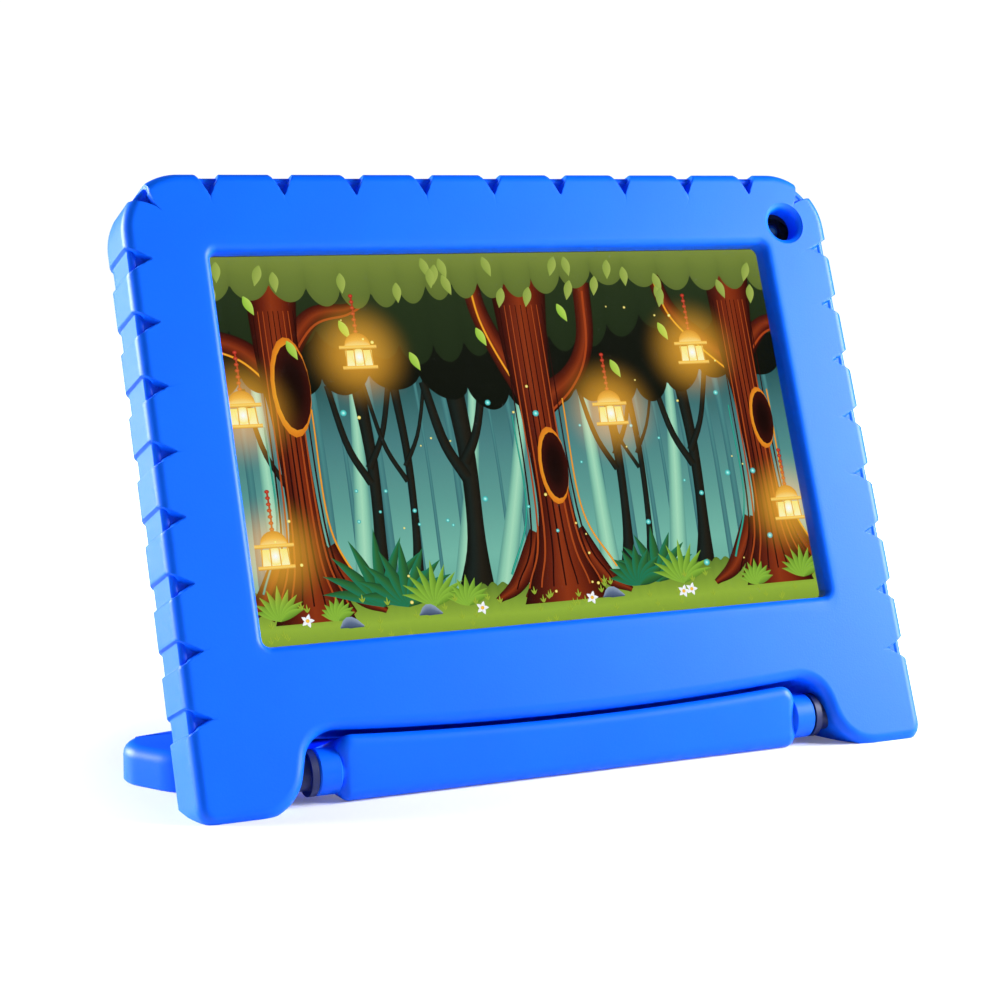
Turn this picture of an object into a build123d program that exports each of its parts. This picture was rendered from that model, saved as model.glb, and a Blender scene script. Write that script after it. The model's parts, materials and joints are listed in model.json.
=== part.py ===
from build123d import *
import math
import os

# Seven-inch children's tablet in a moulded foam bumper with a foam handle that is also its stand.
# Two frames are used, both in millimetres.
# Face frame: X across, Y back from the bumper's front plane, Z up the face from the foot line.
# Floor frame: X across, Y back along the floor from the foot line, Z up from the floor.
# The face frame leans back in the floor frame, turned about the foot line they share.

# ---- bumper: overall sizes ----
lean = 21.3                    # degrees the face leans back when it stands
case_width = 191.0
case_height = 152.3
case_depth = 19.5
top_corner_radius = 15.0
front_edge_radius = 2.6
rear_edge_radius = 5.0

# ---- bumper: feet and the arch between them ----
foot_width = 23.5
foot_outer_radius = 4.5
foot_inner_radius = 12.0
arch_height = 16.4             # at the middle of the arch
arch_rise = 2.4                # the ends of the arch are this much higher
arch_half_width = 67.3
arch_corner_radius = 8.0

# ---- bumper: notched edge ----
notch_mouth = 5.8              # width across the side of the bumper
notch_reach = 5.6              # from the edge to its tip on the front face
notch_cut = 2.2                # how deep it is in the front face
notch_groove = 0.8             # how deep it is along the side
notch_draft = 0.4              # the groove's floor is this much narrower each side
top_notch_pitch = 18.38
top_notch_count = 9
side_notch_pitch = 15.34
side_notch_count = 8
side_notch_top = 21.3          # below the top edge

# ---- tablet ----
screen_width = 150.7           # lit area of a 7 inch 16:10 panel
screen_height = 94.2
screen_centre = 85.7           # above the foot line, up the face
window_corner = 2.0
lip_radius = 2.0
lip_depth = 5.3                # front of the bumper to the glass
tablet_border = 14.1           # lit area to the tablet's side
tablet_border_ends = 10.1      # lit area to the tablet's top and bottom
tablet_depth = 9.7
tablet_corner = 8.0
pocket_gap = 0.15              # tablet to the foam round it
frame_wall = 2.0
glass_thickness = 1.1
glass_rim = 1.2                # frame left round the glass
shelf_thickness = 0.6          # frame shelf that the glass is glued to
cover_thickness = 1.5
cover_depth = 3.6              # depth of the rear cover's tray
cover_edge_radius = 1.4
cell_thickness = 1.2
backlight_thickness = 1.9
cell_margin = 2.4              # lit area to the edge of the display cell
stack_gap = 0.1

# ---- cameras ----
camera_inset_x = 6.8           # from the tablet's side
camera_inset_z = 4.7           # from the tablet's top
camera_hole_radius = 4.25
camera_body = 5.0
camera_length = 4.0
lens_radius = 2.2
lens_hole_gap = 0.2
rear_camera_x = 62.0
rear_camera_inset = 12.0
rear_camera_body = 7.0
rear_camera_length = 3.2
rear_window_radius = 3.6
rear_hole_radius = 5.0

# ---- side controls, on the right side ----
button_dep = 9.6               # centre line behind the bumper's front
button_thickness = 2.2
button_gap = 0.3               # button to the slot it works in
button_proud = 0.7
button_travel = 0.35
button_flange = 0.6
button_flange_reach = 0.7
power_length = 9.0
power_z = 119.0
rocker_length = 21.0
rocker_z = 99.0
rocker_switch_pitch = 14.0
switch_size = 3.0
switch_depth = 1.8

# ---- side sockets, on the right side ----
jack_z = 71.0
jack_dep = 10.4
jack_radius = 1.8
jack_bore = 9.5
jack_barrel = 2.6
jack_size = 5.6
jack_length = 10.8
usb_z = 57.0
usb_width = 8.0
usb_height = 2.4
usb_length = 6.0
usb_wall = 0.4
usb_tongue_width = 3.6
usb_tongue_height = 0.4
card_z = 42.5
card_width = 12.4
card_height = 1.9
card_length = 13.0
card_wall = 0.4
socket_gap = 0.15
slot_margin = 4.0              # foam slot past the buttons and sockets
slot_height = 6.4
socket_slot_dep = 11.3

# ---- electronics ----
board_width = 34.0
board_height = 84.0
board_thickness = 1.0
board_right = 75.4
board_z = 79.7
board_tab_right = 86.4
board_tab_top = 65.0
battery_width = 96.0
battery_height = 58.0
battery_thickness = 3.1
battery_corner = 0.3
battery_x = -26.0
battery_z = 88.0
pad_width = 10.0
pad_height = 50.0
pad_pitch = 60.0
pad_thickness = 0.3
shield_size = 24.0
shield_height = 1.5
shield_z = 96.0
chip_size = 9.0
chip_height = 0.9
chip_pitch = 13.0
chip_z = 70.0
speaker_width = 20.0
speaker_height = 12.0
speaker_thickness = 3.0
speaker_corner = 1.5
speaker_x = -60.0
speaker_z = 38.5
speaker_slot = 14.0
speaker_slot_width = 1.6
speaker_slot_count = 3
speaker_slot_pitch = 3.4
microphone_radius = 2.0
microphone_height = 1.2
microphone_x = 48.0
microphone_z = 44.0
flex_thickness = 0.2
flex_width = 12.0
display_flex_x = 62.0
display_flex_drop = 1.0
touch_flex_x = 47.0
touch_flex_drop = 2.2
flex_gap = 0.3
lead_radius = 0.55
lead_pitch = 1.5
lead_land = 2.5                # how far a lead lies over the board
battery_lead_z = 100.0
speaker_lead_z = 40.0
screw_x = 80.1
screw_low_z = 51.2
screw_high_z = 62.6
screw_radius = 0.8
screw_head = 1.5
screw_head_height = 0.6
screw_length = 2.6
boss_radius = 2.1
antenna_length = 32.0
antenna_width = 5.0
antenna_x = -20.0
antenna_z = 136.0

# ---- handle that is also the stand ----
hinge_y = 10.0                 # floor frame, with the stand down
hinge_z = 6.8
bar_width = 122.0
bar_front = 4.5                # foot line to the bar, at the floor
bar_front_top = 6.7            # the same, at the top of its front face
bar_top_gap = 0.9              # bar to the arch
bar_corner = 3.0
bar_end_gap = 0.5              # hinge channel past each end of the bar
bar_end_radius = 4.0           # upper corners of the bar's ends
bar_base_radius = 3.0          # lower corners
wing_thickness = 9.2
wing_root = 27.5               # foot line to the front edge of the wings
wing_shoulder = 91.0
wing_tip_x = 104.5             # where the wing's edges would meet if its tip weren't round
wing_tip_y = 50.5
wing_back = 64.5
shoulder_radius = 13.0
tip_radius = 9.0
wing_edge_radius = 3.0
hand_hole_width = 92.0
hand_hole_depth = 20.0
hand_hole_y = 39.5
neck_radius = 4.4
sweep_gap = 0.4                # handle to the foam above it as it turns

# ---- hinge hardware ----
rod_radius = 2.5
rod_fit = 0.05
bush_radius = 4.0
bush_length = 13.0
flange_radius = 5.4
flange_thickness = 1.6
flange_x = 66.0
hinge_end_gap = 0.3

# ---- derived places ----
half_width = case_width / 2
tablet_width = screen_width + 2 * tablet_border
tablet_height = screen_height + 2 * tablet_border_ends
tablet_side = tablet_width / 2
tablet_top = screen_centre + tablet_height / 2
tablet_front = lip_depth
tablet_back = tablet_front + tablet_depth
glass_back = tablet_front + glass_thickness
cell_width = screen_width + 2 * cell_margin
cell_height = screen_height + 2 * cell_margin
cell_bottom = screen_centre - cell_height / 2
cell_front = glass_back + stack_gap
cell_back = cell_front + cell_thickness
backlight_front = cell_back + stack_gap
works_front = backlight_front + backlight_thickness + stack_gap
cover_front = tablet_back - cover_depth
works_back = tablet_back - cover_thickness
wall_inside = tablet_side - frame_wall
camera_x = tablet_side - camera_inset_x
camera_z = tablet_top - camera_inset_z
lens_front = glass_back + stack_gap
rear_camera_z = tablet_top - rear_camera_inset
board_front = works_front + stack_gap
board_back = board_front + board_thickness
board_left = board_right - board_width
board_bottom = board_z - board_height / 2
button_face = tablet_side + button_proud
flange_face = wall_inside - button_gap
switch_face = flange_face - button_flange - button_travel - socket_gap
lean_sin = math.sin(math.radians(lean))
lean_cos = math.cos(math.radians(lean))
hinge_face_y = hinge_y * lean_cos - hinge_z * lean_sin
hinge_face_z = hinge_y * lean_sin + hinge_z * lean_cos
arch_end_height = arch_height + arch_rise
past = 2.0                     # how far a cutter runs past what it cuts
same_place = 0.01              # points nearer than this are one point
everywhere = 400.0             # larger than the whole object


def face_plane(dep):
    """Plane of the face frame at a depth, seen from the front."""
    return Plane(origin=(0, dep, 0), x_dir=(1, 0, 0), z_dir=(0, -1, 0))


def slab(sketch, dep, thickness):
    """Solid from a sketch on the face, from a depth backwards."""
    return extrude(face_plane(dep) * sketch, -thickness)


def plate(x, z, dep, width, height, thickness, corner=0.0):
    """Rounded plate parallel to the face."""
    if corner > 0:
        outline = RectangleRounded(width, height, corner)
    else:
        outline = Rectangle(width, height)
    return slab(Pos(x, z) * outline, dep, thickness)


def disc(x, z, dep, radius, thickness):
    """Round plate parallel to the face."""
    return slab(Pos(x, z) * Circle(radius), dep, thickness)


def group(shapes):
    """Several separate solids as one shape."""
    return Compound([solid for shape in shapes for solid in shape.solids()])


def rod_along_x(x, y, z, radius, length):
    """Round bar along X from x."""
    upright = Cylinder(radius, length, align=(Align.CENTER, Align.CENTER, Align.MIN))
    return Pos(x, y, z) * Rot(Y=90) * upright


def stand_up(shape):
    """Lean a shape of the face frame back into the floor frame."""
    return Rot(X=-lean) * shape


def case_outline():
    """Front outline of the bumper: rounded top, two feet and a slightly bowed arch."""
    foot_inner = half_width - foot_width
    left_end = (-arch_half_width, arch_end_height)
    right_end = (arch_half_width, arch_end_height)
    arch = ThreePointArc(left_end, (0, arch_height), right_end)
    rest = Polyline(
        right_end,
        (foot_inner, 0),
        (half_width, 0),
        (half_width, case_height),
        (-half_width, case_height),
        (-half_width, 0),
        (-foot_inner, 0),
        left_end,
    )
    outline = make_face(arch + rest)
    corners = outline.vertices()
    top = [v for v in corners if v.Y > case_height - past]
    outer = [v for v in corners if v.Y < past and abs(v.X) > half_width - past]
    inner = [v for v in corners if v.Y < past and abs(v.X) < half_width - past]
    arched = [v for v in corners if past < v.Y < case_height - past]
    outline = fillet(top, top_corner_radius)
    outline = fillet(match(outline, outer), foot_outer_radius)
    outline = fillet(match(outline, inner), foot_inner_radius)
    outline = fillet(match(outline, arched), arch_corner_radius)
    return outline


def match(sketch, points):
    """Vertices of a sketch that lie at the given points."""
    found = []
    for vertex in sketch.vertices():
        near = [p for p in points if math.hypot(vertex.X - p.X, vertex.Y - p.Y) < same_place]
        if near:
            found.append(vertex)
    return found


def notch(x, z, turn):
    """Cutter for one notch: a triangle sunk in the front face that runs on as a groove round the side."""
    half = notch_mouth / 2
    slope = half / notch_reach
    spread = half + slope * past
    triangle = Polygon((-spread, past), (0, -notch_reach), (spread, past), align=None)
    wide = half + past
    narrow = half - notch_draft
    channel = Polygon((-wide, past), (-half, 0), (-narrow, -notch_groove), (narrow, -notch_groove), (half, 0),
                      (wide, past), align=None)
    cutter = slab(triangle, -past, past + notch_cut) + slab(channel, -past, case_depth + 2 * past)
    return Pos(x, 0, z) * Rot(Y=turn) * cutter


def notches():
    """All the notches along the top, the sides and the two top corners."""
    cutters = []
    for index in range(top_notch_count):
        x = (index - (top_notch_count - 1) / 2) * top_notch_pitch
        cutters.append(notch(x, case_height, 0))
    for index in range(side_notch_count):
        z = case_height - side_notch_top - index * side_notch_pitch
        cutters.append(notch(half_width, z, 90))
        cutters.append(notch(-half_width, z, -90))
    diagonal = top_corner_radius * (1 - math.sqrt(0.5))
    cutters.append(notch(half_width - diagonal, case_height - diagonal, 45))
    cutters.append(notch(-half_width + diagonal, case_height - diagonal, -45))
    return cutters


def side_slot(z_low, z_high, dep):
    """Opening in the bumper's right wall over the buttons or the sockets."""
    length = z_high - z_low + 2 * slot_margin
    centre = (z_high + z_low) / 2
    shape = Plane.YZ.offset(tablet_side - past) * Pos(dep, centre) * SlotOverall(length, slot_height, 90)
    return extrude(shape, half_width - tablet_side + 2 * past)


def hinge_channel():
    """Space in the bumper that the bar's top edge turns through: a bowed drum about the hinge."""
    end = bar_width / 2 + bar_end_gap
    reach_middle = arch_height - hinge_face_z - bar_top_gap
    reach_end = arch_end_height - hinge_face_z - bar_top_gap
    radius_middle = drum_radius(reach_middle)
    radius_end = drum_radius(reach_end)
    bow = ThreePointArc((-end, radius_end), (0, radius_middle), (end, radius_end))
    sides = Polyline((end, radius_end), (end, 0), (-end, 0), (-end, radius_end))
    drum = revolve(Plane.XY * make_face(bow + sides), Axis.X)
    return Pos(0, hinge_face_y, hinge_face_z) * drum


def drum_radius(reach):
    """Radius of the channel for a bar edge at a height above the hinge, up the face."""
    front = hinge_y - bar_front_top
    rise = (reach + front * lean_sin) / lean_cos
    return math.hypot(front - bar_corner, rise - bar_corner) + bar_corner + sweep_gap


def build_foam_case():
    """Foam bumper with the tablet's pocket, the window, the notches and the hinge channel."""
    outline = case_outline()
    body = slab(outline, 0, case_depth)
    front = body.faces().sort_by(Axis.Y)[0]
    body = fillet(front.edges(), front_edge_radius)
    back = body.faces().sort_by(Axis.Y)[-1]
    body = fillet(back.edges(), rear_edge_radius)

    window = plate(0, screen_centre, -past, screen_width, screen_height, lip_depth + 2 * past, window_corner)
    body -= window
    opening = [e for e in body.faces().sort_by(Axis.Y)[0].inner_wires()[0].edges()]
    body = fillet(opening, lip_radius)
    pocket = plate(
        0, screen_centre, tablet_front - pocket_gap, tablet_width + 2 * pocket_gap,
        tablet_height + 2 * pocket_gap, tablet_depth + 2 * pocket_gap, tablet_corner,
    )
    body -= pocket
    body -= disc(camera_x, camera_z, -past, camera_hole_radius, lip_depth + 2 * past)
    body -= disc(rear_camera_x, rear_camera_z, tablet_back - past, rear_hole_radius, case_depth)
    body -= side_slot(rocker_z - rocker_length / 2, power_z + power_length / 2, button_dep)
    body -= side_slot(card_z - card_width / 2, jack_z, socket_slot_dep)
    for cutter in speaker_slots(tablet_back - past):
        body -= cutter
    body -= hinge_channel()
    for side in (-1, 1):
        start = flange_x if side > 0 else -flange_x - flange_thickness
        body -= rod_along_x(start, hinge_face_y, hinge_face_z, flange_radius, flange_thickness)
        sleeve = start + flange_thickness if side > 0 else start - bush_length
        body -= rod_along_x(sleeve, hinge_face_y, hinge_face_z, bush_radius, bush_length)
    for cutter in notches():
        body -= cutter
    floor = Pos(0, 0, -everywhere / 2) * Box(everywhere, everywhere, everywhere)
    return stand_up(body) - floor


def build_bushes():
    """Flanged nylon bushes pressed into the feet, one at each end of the hinge rod."""
    bushes = []
    for side in (-1, 1):
        start = flange_x if side > 0 else -flange_x - flange_thickness
        flange = rod_along_x(start, hinge_y, hinge_z, flange_radius, flange_thickness)
        sleeve_start = start + flange_thickness if side > 0 else start - bush_length
        sleeve = rod_along_x(sleeve_start, hinge_y, hinge_z, bush_radius, bush_length)
        bore_start = start if side > 0 else start - bush_length + past
        bore_length = bush_length + flange_thickness - past
        bore = rod_along_x(bore_start, hinge_y, hinge_z, rod_radius + rod_fit, bore_length)
        bushes.append(flange + sleeve - bore)
    return group(bushes)


def build_rod():
    """Steel rod moulded through the bar, with an end in each bush."""
    end = flange_x + flange_thickness + bush_length - past - hinge_end_gap
    return rod_along_x(-end, hinge_y, hinge_z, rod_radius, 2 * end)


def bar_section():
    """Side outline of the bar: near-upright front, floor face and a top that follows the arch."""
    high = case_depth + bar_front
    return Polygon(
        (bar_front, 0),
        (wing_root + past, 0),
        (wing_root + past, wing_thickness),
        (wing_root, high),
        (bar_front + (bar_front_top - bar_front) * high / case_depth, high),
        align=None,
    )


def build_handle():
    """Foam handle: a hinge bar between the feet and a wide loop behind them."""
    half = bar_width / 2
    bar = extrude(Plane.YZ.offset(-half) * bar_section(), bar_width)
    low = arch_height - bar_top_gap
    end = low + arch_rise * (half / arch_half_width) ** 2
    crown = ThreePointArc((-half, end), (0, low), (half, end))
    sides = Polyline((half, end), (half, -case_height), (-half, -case_height), (-half, end))
    top = make_face(crown + sides)
    top = fillet([v for v in top.vertices() if v.Y > 0], bar_end_radius)
    bar &= stand_up(slab(top, -everywhere / 2, everywhere))
    base = Pos(0, case_height / 2) * Rectangle(bar_width, case_height)
    base = fillet([v for v in base.vertices() if v.Y < past], bar_base_radius)
    bar &= slab(base, 0, wing_root + 2 * past)
    face = bar.faces().sort_by(Axis.Y)[0]
    bar = fillet(face.edges(), bar_corner)

    rear = ThreePointArc((-wing_tip_x, wing_tip_y), (0, wing_back), (wing_tip_x, wing_tip_y))
    rim = Polyline(
        (-wing_tip_x, wing_tip_y),
        (-wing_shoulder, wing_root),
        (-half, wing_root),
        (-half, wing_root - past),
        (half, wing_root - past),
        (half, wing_root),
        (wing_shoulder, wing_root),
        (wing_tip_x, wing_tip_y),
    )
    outline = make_face(rear + rim)
    shoulders = [v for v in outline.vertices() if abs(abs(v.X) - wing_shoulder) < same_place]
    outline = fillet(shoulders, shoulder_radius)
    tips = [v for v in outline.vertices() if abs(v.X) > wing_tip_x - same_place]
    outline = fillet(tips, tip_radius)
    outline -= Pos(0, hand_hole_y) * SlotOverall(hand_hole_width, hand_hole_depth)
    wing = extrude(outline, wing_thickness)
    upper = [e for e in wing.edges() if e.center().Z > wing_thickness - same_place]
    wing = fillet([e for e in upper if e.center().Y > wing_root - same_place], wing_edge_radius)
    neck_end = flange_x - hinge_end_gap
    neck = rod_along_x(-neck_end, hinge_y, hinge_z, neck_radius, 2 * neck_end)
    handle = bar + wing + neck
    bore = rod_along_x(-half_width, hinge_y, hinge_z, rod_radius, case_width)
    return handle - bore


def speaker_slots(dep):
    """Row of slots that let the speaker's sound out, from a depth to past the bumper's back."""
    slots = []
    for index in range(speaker_slot_count):
        drop = (index - (speaker_slot_count - 1) / 2) * speaker_slot_pitch
        slots.append(plate(speaker_x, speaker_z + drop, dep, speaker_slot, speaker_slot_width, case_depth))
    return slots


def side_block(x, z, dep, length, width, height):
    """Block inside the right side: its outer face at x, length inwards, width along Z."""
    return Pos(x - length / 2, dep, z) * Box(length, height, width)


def button(length, z, flange_back):
    """Side button: a cap with rounded ends and an inner flange that keeps it in its slot."""
    outline = Plane.YZ.offset(flange_face) * Pos(button_dep, z) * SlotOverall(length, button_thickness, 90)
    cap = extrude(outline, button_face - flange_face)
    cap = fillet(cap.faces().sort_by(Axis.X)[-1].edges(), button_gap)
    reach = length + 2 * button_flange_reach
    height = button_thickness + button_flange_reach
    flange = side_block(flange_face, z, button_dep, flange_back, reach, height)
    return cap + flange


def button_slot(length, z):
    """Slot through the frame's wall that a side button works in."""
    outline = SlotOverall(length + 2 * button_gap, button_thickness + 2 * button_gap, 90)
    return extrude(Plane.YZ.offset(wall_inside - past) * Pos(button_dep, z) * outline, frame_wall + 2 * past)


def side_openings():
    """Holes through the tablet's right wall for the buttons and the sockets."""
    usb_dep = board_back + usb_height / 2
    card_dep = board_back + card_height / 2
    depth = frame_wall + 2 * past
    outer = tablet_side + past
    return [
        button_slot(power_length, power_z),
        button_slot(rocker_length, rocker_z),
        rod_along_x(outer - depth, jack_dep, jack_z, jack_barrel + socket_gap, depth),
        side_block(outer, usb_z, usb_dep, depth, usb_width + 2 * socket_gap, usb_height + 2 * socket_gap),
        side_block(outer, card_z, card_dep, depth, card_width + 2 * socket_gap, card_height + 2 * socket_gap),
    ]


def build_bezel_frame():
    """Moulded frame: side walls, a shelf behind the glass and two bosses for the board's screws."""
    wall_depth = cover_front - tablet_front
    body = plate(0, screen_centre, tablet_front, tablet_width, tablet_height, wall_depth, tablet_corner)
    rim = glass_rim
    body -= plate(
        0, screen_centre, tablet_front - past, tablet_width - 2 * rim, tablet_height - 2 * rim,
        glass_thickness + past, tablet_corner - rim,
    )
    shelf_back = glass_back + shelf_thickness
    body -= plate(
        0, screen_centre, shelf_back, tablet_width - 2 * frame_wall, tablet_height - 2 * frame_wall,
        tablet_depth, tablet_corner - frame_wall,
    )
    body -= plate(
        0, screen_centre, tablet_front, cell_width + 2 * stack_gap, cell_height + 2 * stack_gap, tablet_depth,
    )
    for z in (screw_low_z, screw_high_z):
        body += disc(screw_x, z, glass_back, boss_radius, board_front - glass_back)
        body -= disc(screw_x, z, board_back - screw_length, screw_radius, screw_length)
    body -= disc(camera_x, camera_z, tablet_front, lens_radius + lens_hole_gap, tablet_depth)
    camera_hole = camera_body + 2 * stack_gap
    body -= plate(camera_x, camera_z, shelf_back, camera_hole, camera_hole, tablet_depth)
    for x, drop in ((display_flex_x, display_flex_drop), (touch_flex_x, touch_flex_drop)):
        body -= Pos(x, glass_back + shelf_thickness / 2, cell_bottom - drop) * Box(
            flex_width + 2 * flex_gap, shelf_thickness + stack_gap, 2 * drop,
        )
    for cutter in side_openings():
        body -= cutter
    return body


def build_rear_cover():
    """Moulded tray that snaps over the frame's back, with its camera hole and speaker slots."""
    body = plate(0, screen_centre, cover_front, tablet_width, tablet_height, cover_depth, tablet_corner)
    body = fillet(body.faces().sort_by(Axis.Y)[-1].edges(), cover_edge_radius)
    body -= plate(
        0, screen_centre, cover_front - past, tablet_width - 2 * frame_wall, tablet_height - 2 * frame_wall,
        works_back - cover_front + past, tablet_corner - frame_wall,
    )
    window_hole = rear_window_radius + stack_gap
    body -= disc(rear_camera_x, rear_camera_z, works_back - past, window_hole, tablet_depth)
    for cutter in speaker_slots(works_back - past):
        body -= cutter
    for cutter in side_openings():
        body -= cutter
    return body


def build_board():
    """Main circuit board with a tab that reaches the side sockets."""
    middle = board_right - board_width / 2
    board = plate(middle, board_z, board_front, board_width, board_height, board_thickness)
    tab_height = board_tab_top - board_bottom
    tab_width = board_tab_right - board_right
    tab_x = board_right + tab_width / 2
    tab_z = board_bottom + tab_height / 2
    board += plate(tab_x, tab_z, board_front, tab_width, tab_height, board_thickness)
    for z in (screw_low_z, screw_high_z):
        board -= disc(screw_x, z, board_front - past, screw_radius + stack_gap, board_thickness + 2 * past)
    return board


def build_board_screws():
    """Two small screws that hold the board's tab to the frame's bosses."""
    screws = []
    for z in (screw_low_z, screw_high_z):
        head = disc(screw_x, z, board_back, screw_head, screw_head_height)
        shank = disc(screw_x, z, board_back - screw_length, screw_radius, screw_length)
        screws.append(head + shank)
    return group(screws)


def build_chips():
    """Processor, memory and power chips beside each other on the board's back face."""
    chips = []
    for column, row in ((-0.5, 0.5), (0.5, 0.5), (-0.5, -0.5)):
        x = board_right - board_width / 2 + column * chip_pitch
        chips.append(plate(x, chip_z + row * chip_pitch, board_back, chip_size, chip_size, chip_height))
    return group(chips)


def build_jack():
    """Headphone socket: a block with a round barrel out through the wall, bored for the plug."""
    block = side_block(wall_inside, jack_z, jack_dep, jack_length - frame_wall, jack_size, jack_size)
    barrel = rod_along_x(wall_inside - past, jack_dep, jack_z, jack_barrel, frame_wall + past)
    bore = rod_along_x(tablet_side - jack_bore, jack_dep, jack_z, jack_radius, jack_bore + past)
    return block + barrel - bore


def build_usb():
    """Charging socket: a folded metal shell with a tongue inside."""
    dep = board_back + usb_height / 2
    shell = side_block(tablet_side, usb_z, dep, usb_length, usb_width, usb_height)
    hollow_width = usb_width - 2 * usb_wall
    hollow_height = usb_height - 2 * usb_wall
    hollow_length = usb_length - usb_wall + past
    shell -= side_block(tablet_side + past, usb_z, dep, hollow_length, hollow_width, hollow_height)
    tongue_length = usb_length - past
    return shell + side_block(tablet_side - past, usb_z, dep, tongue_length, usb_tongue_width, usb_tongue_height)


def build_card_slot():
    """Memory card socket, open at the tablet's side."""
    dep = board_back + card_height / 2
    shell = side_block(tablet_side, card_z, dep, card_length, card_width, card_height)
    hollow_width = card_width - 2 * card_wall
    hollow_height = card_height - 2 * card_wall
    depth = card_length - card_wall + past
    return shell - side_block(tablet_side + past, card_z, dep, depth, hollow_width, hollow_height)


def build_switches(places):
    """Small tact switches behind the side buttons."""
    switches = []
    for z in places:
        switches.append(side_block(switch_face, z, button_dep, switch_depth, switch_size, switch_size))
    return group(switches)


def build_flex(x, drop, start):
    """Flat ribbon that folds round the display's lower edge to the board."""
    z = cell_bottom - drop
    fall = Pos(x, (start + board_front) / 2, z) * Box(flex_width, board_front - start, flex_thickness)
    run = board_bottom - stack_gap - z
    back = Pos(x, board_front, z - flex_thickness / 2) * Box(
        flex_width, flex_thickness, run, align=(Align.CENTER, Align.MIN, Align.MIN)
    )
    return fall + back


def build_leads(x_start, z_start):
    """Pair of insulated wires along the tablet's back to the board."""
    dep = board_back + lead_radius
    length = board_left + lead_land - x_start
    wires = [rod_along_x(x_start, dep, z_start + row * lead_pitch, lead_radius, length) for row in (0, 1)]
    return group(wires)


def build_battery_pads():
    """Adhesive strips between the display's back and the battery."""
    pads = []
    for side in (-0.5, 0.5):
        x = battery_x + side * pad_pitch
        pads.append(plate(x, battery_z, works_front, pad_width, pad_height, pad_thickness))
    return group(pads)


def face_parts():
    """Every piece that is laid out in the face frame, by node name."""
    battery_front = works_front + pad_thickness
    speaker_front = works_back - stack_gap - speaker_thickness
    rear_camera_front = works_back - stack_gap - rear_camera_length
    rocker_ends = (rocker_z - rocker_switch_pitch / 2, rocker_z + rocker_switch_pitch / 2)
    board_middle = board_right - board_width / 2
    camera_front = lens_front + shelf_thickness
    return {
        "touch_glass": plate(
            0, screen_centre, tablet_front, tablet_width - 2 * glass_rim, tablet_height - 2 * glass_rim,
            glass_thickness, tablet_corner - glass_rim,
        ),
        "bezel_frame": build_bezel_frame(),
        "rear_cover": build_rear_cover(),
        "lcd_cell": plate(0, screen_centre, cell_front, cell_width, cell_height, cell_thickness),
        "backlight_unit": plate(
            0, screen_centre, backlight_front, cell_width, cell_height, backlight_thickness,
        ),
        "main_board": build_board(),
        "board_screws": build_board_screws(),
        "board_chips": build_chips(),
        "shield_can": plate(board_middle, shield_z, board_back, shield_size, shield_size, shield_height),
        "battery": plate(
            battery_x, battery_z, battery_front, battery_width, battery_height,
            battery_thickness, battery_corner,
        ),
        "battery_pads": build_battery_pads(),
        "battery_leads": build_leads(battery_x + battery_width / 2, battery_lead_z),
        "speaker": plate(
            speaker_x, speaker_z, speaker_front, speaker_width, speaker_height,
            speaker_thickness, speaker_corner,
        ),
        "speaker_leads": build_leads(speaker_x + speaker_width / 2, speaker_lead_z),
        "microphone": disc(microphone_x, microphone_z, board_back, microphone_radius, microphone_height),
        "antenna": plate(
            antenna_x, antenna_z, works_back - flex_thickness, antenna_length, antenna_width, flex_thickness,
        ),
        "front_camera": plate(camera_x, camera_z, camera_front, camera_body, camera_body, camera_length),
        "front_camera_lens": disc(camera_x, camera_z, lens_front, lens_radius, shelf_thickness),
        "rear_camera": plate(
            rear_camera_x, rear_camera_z, rear_camera_front, rear_camera_body, rear_camera_body,
            rear_camera_length,
        ),
        "rear_camera_window": disc(
            rear_camera_x, rear_camera_z, works_back, rear_window_radius, cover_thickness,
        ),
        "power_button": button(power_length, power_z, button_flange),
        "volume_rocker": button(rocker_length, rocker_z, button_flange),
        "power_switch": build_switches([power_z]),
        "volume_switches": build_switches(rocker_ends),
        "headphone_jack": build_jack(),
        "charging_port": build_usb(),
        "card_slot": build_card_slot(),
        "display_flex": build_flex(display_flex_x, display_flex_drop, cell_front),
        "touch_flex": build_flex(touch_flex_x, touch_flex_drop, glass_back),
    }


def main():
    parts = {name: stand_up(shape) for name, shape in face_parts().items()}
    parts["foam_case"] = build_foam_case()
    parts["hinge_bushes"] = build_bushes()
    parts["hinge_rod"] = build_rod()
    parts["handle_stand"] = build_handle()

    # The origin is on the floor, at the middle of the space the whole object takes up.
    boxes = [parts["foam_case"].bounding_box(), parts["handle_stand"].bounding_box()]
    middle = (min(b.min.Y for b in boxes) + max(b.max.Y for b in boxes)) / 2
    os.makedirs("parts", exist_ok=True)
    for name, shape in parts.items():
        placed = Pos(0, -middle, 0) * shape
        export_step(placed, f"parts/{name}.step")
        print(name, round(placed.volume / 1000, 2), "cm3", placed.is_valid)
    print("foot line at y", round(-middle, 3))
    print("hinge axis at y, z", round(hinge_y - middle, 3), hinge_z)


main()
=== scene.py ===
import json
import math

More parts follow.
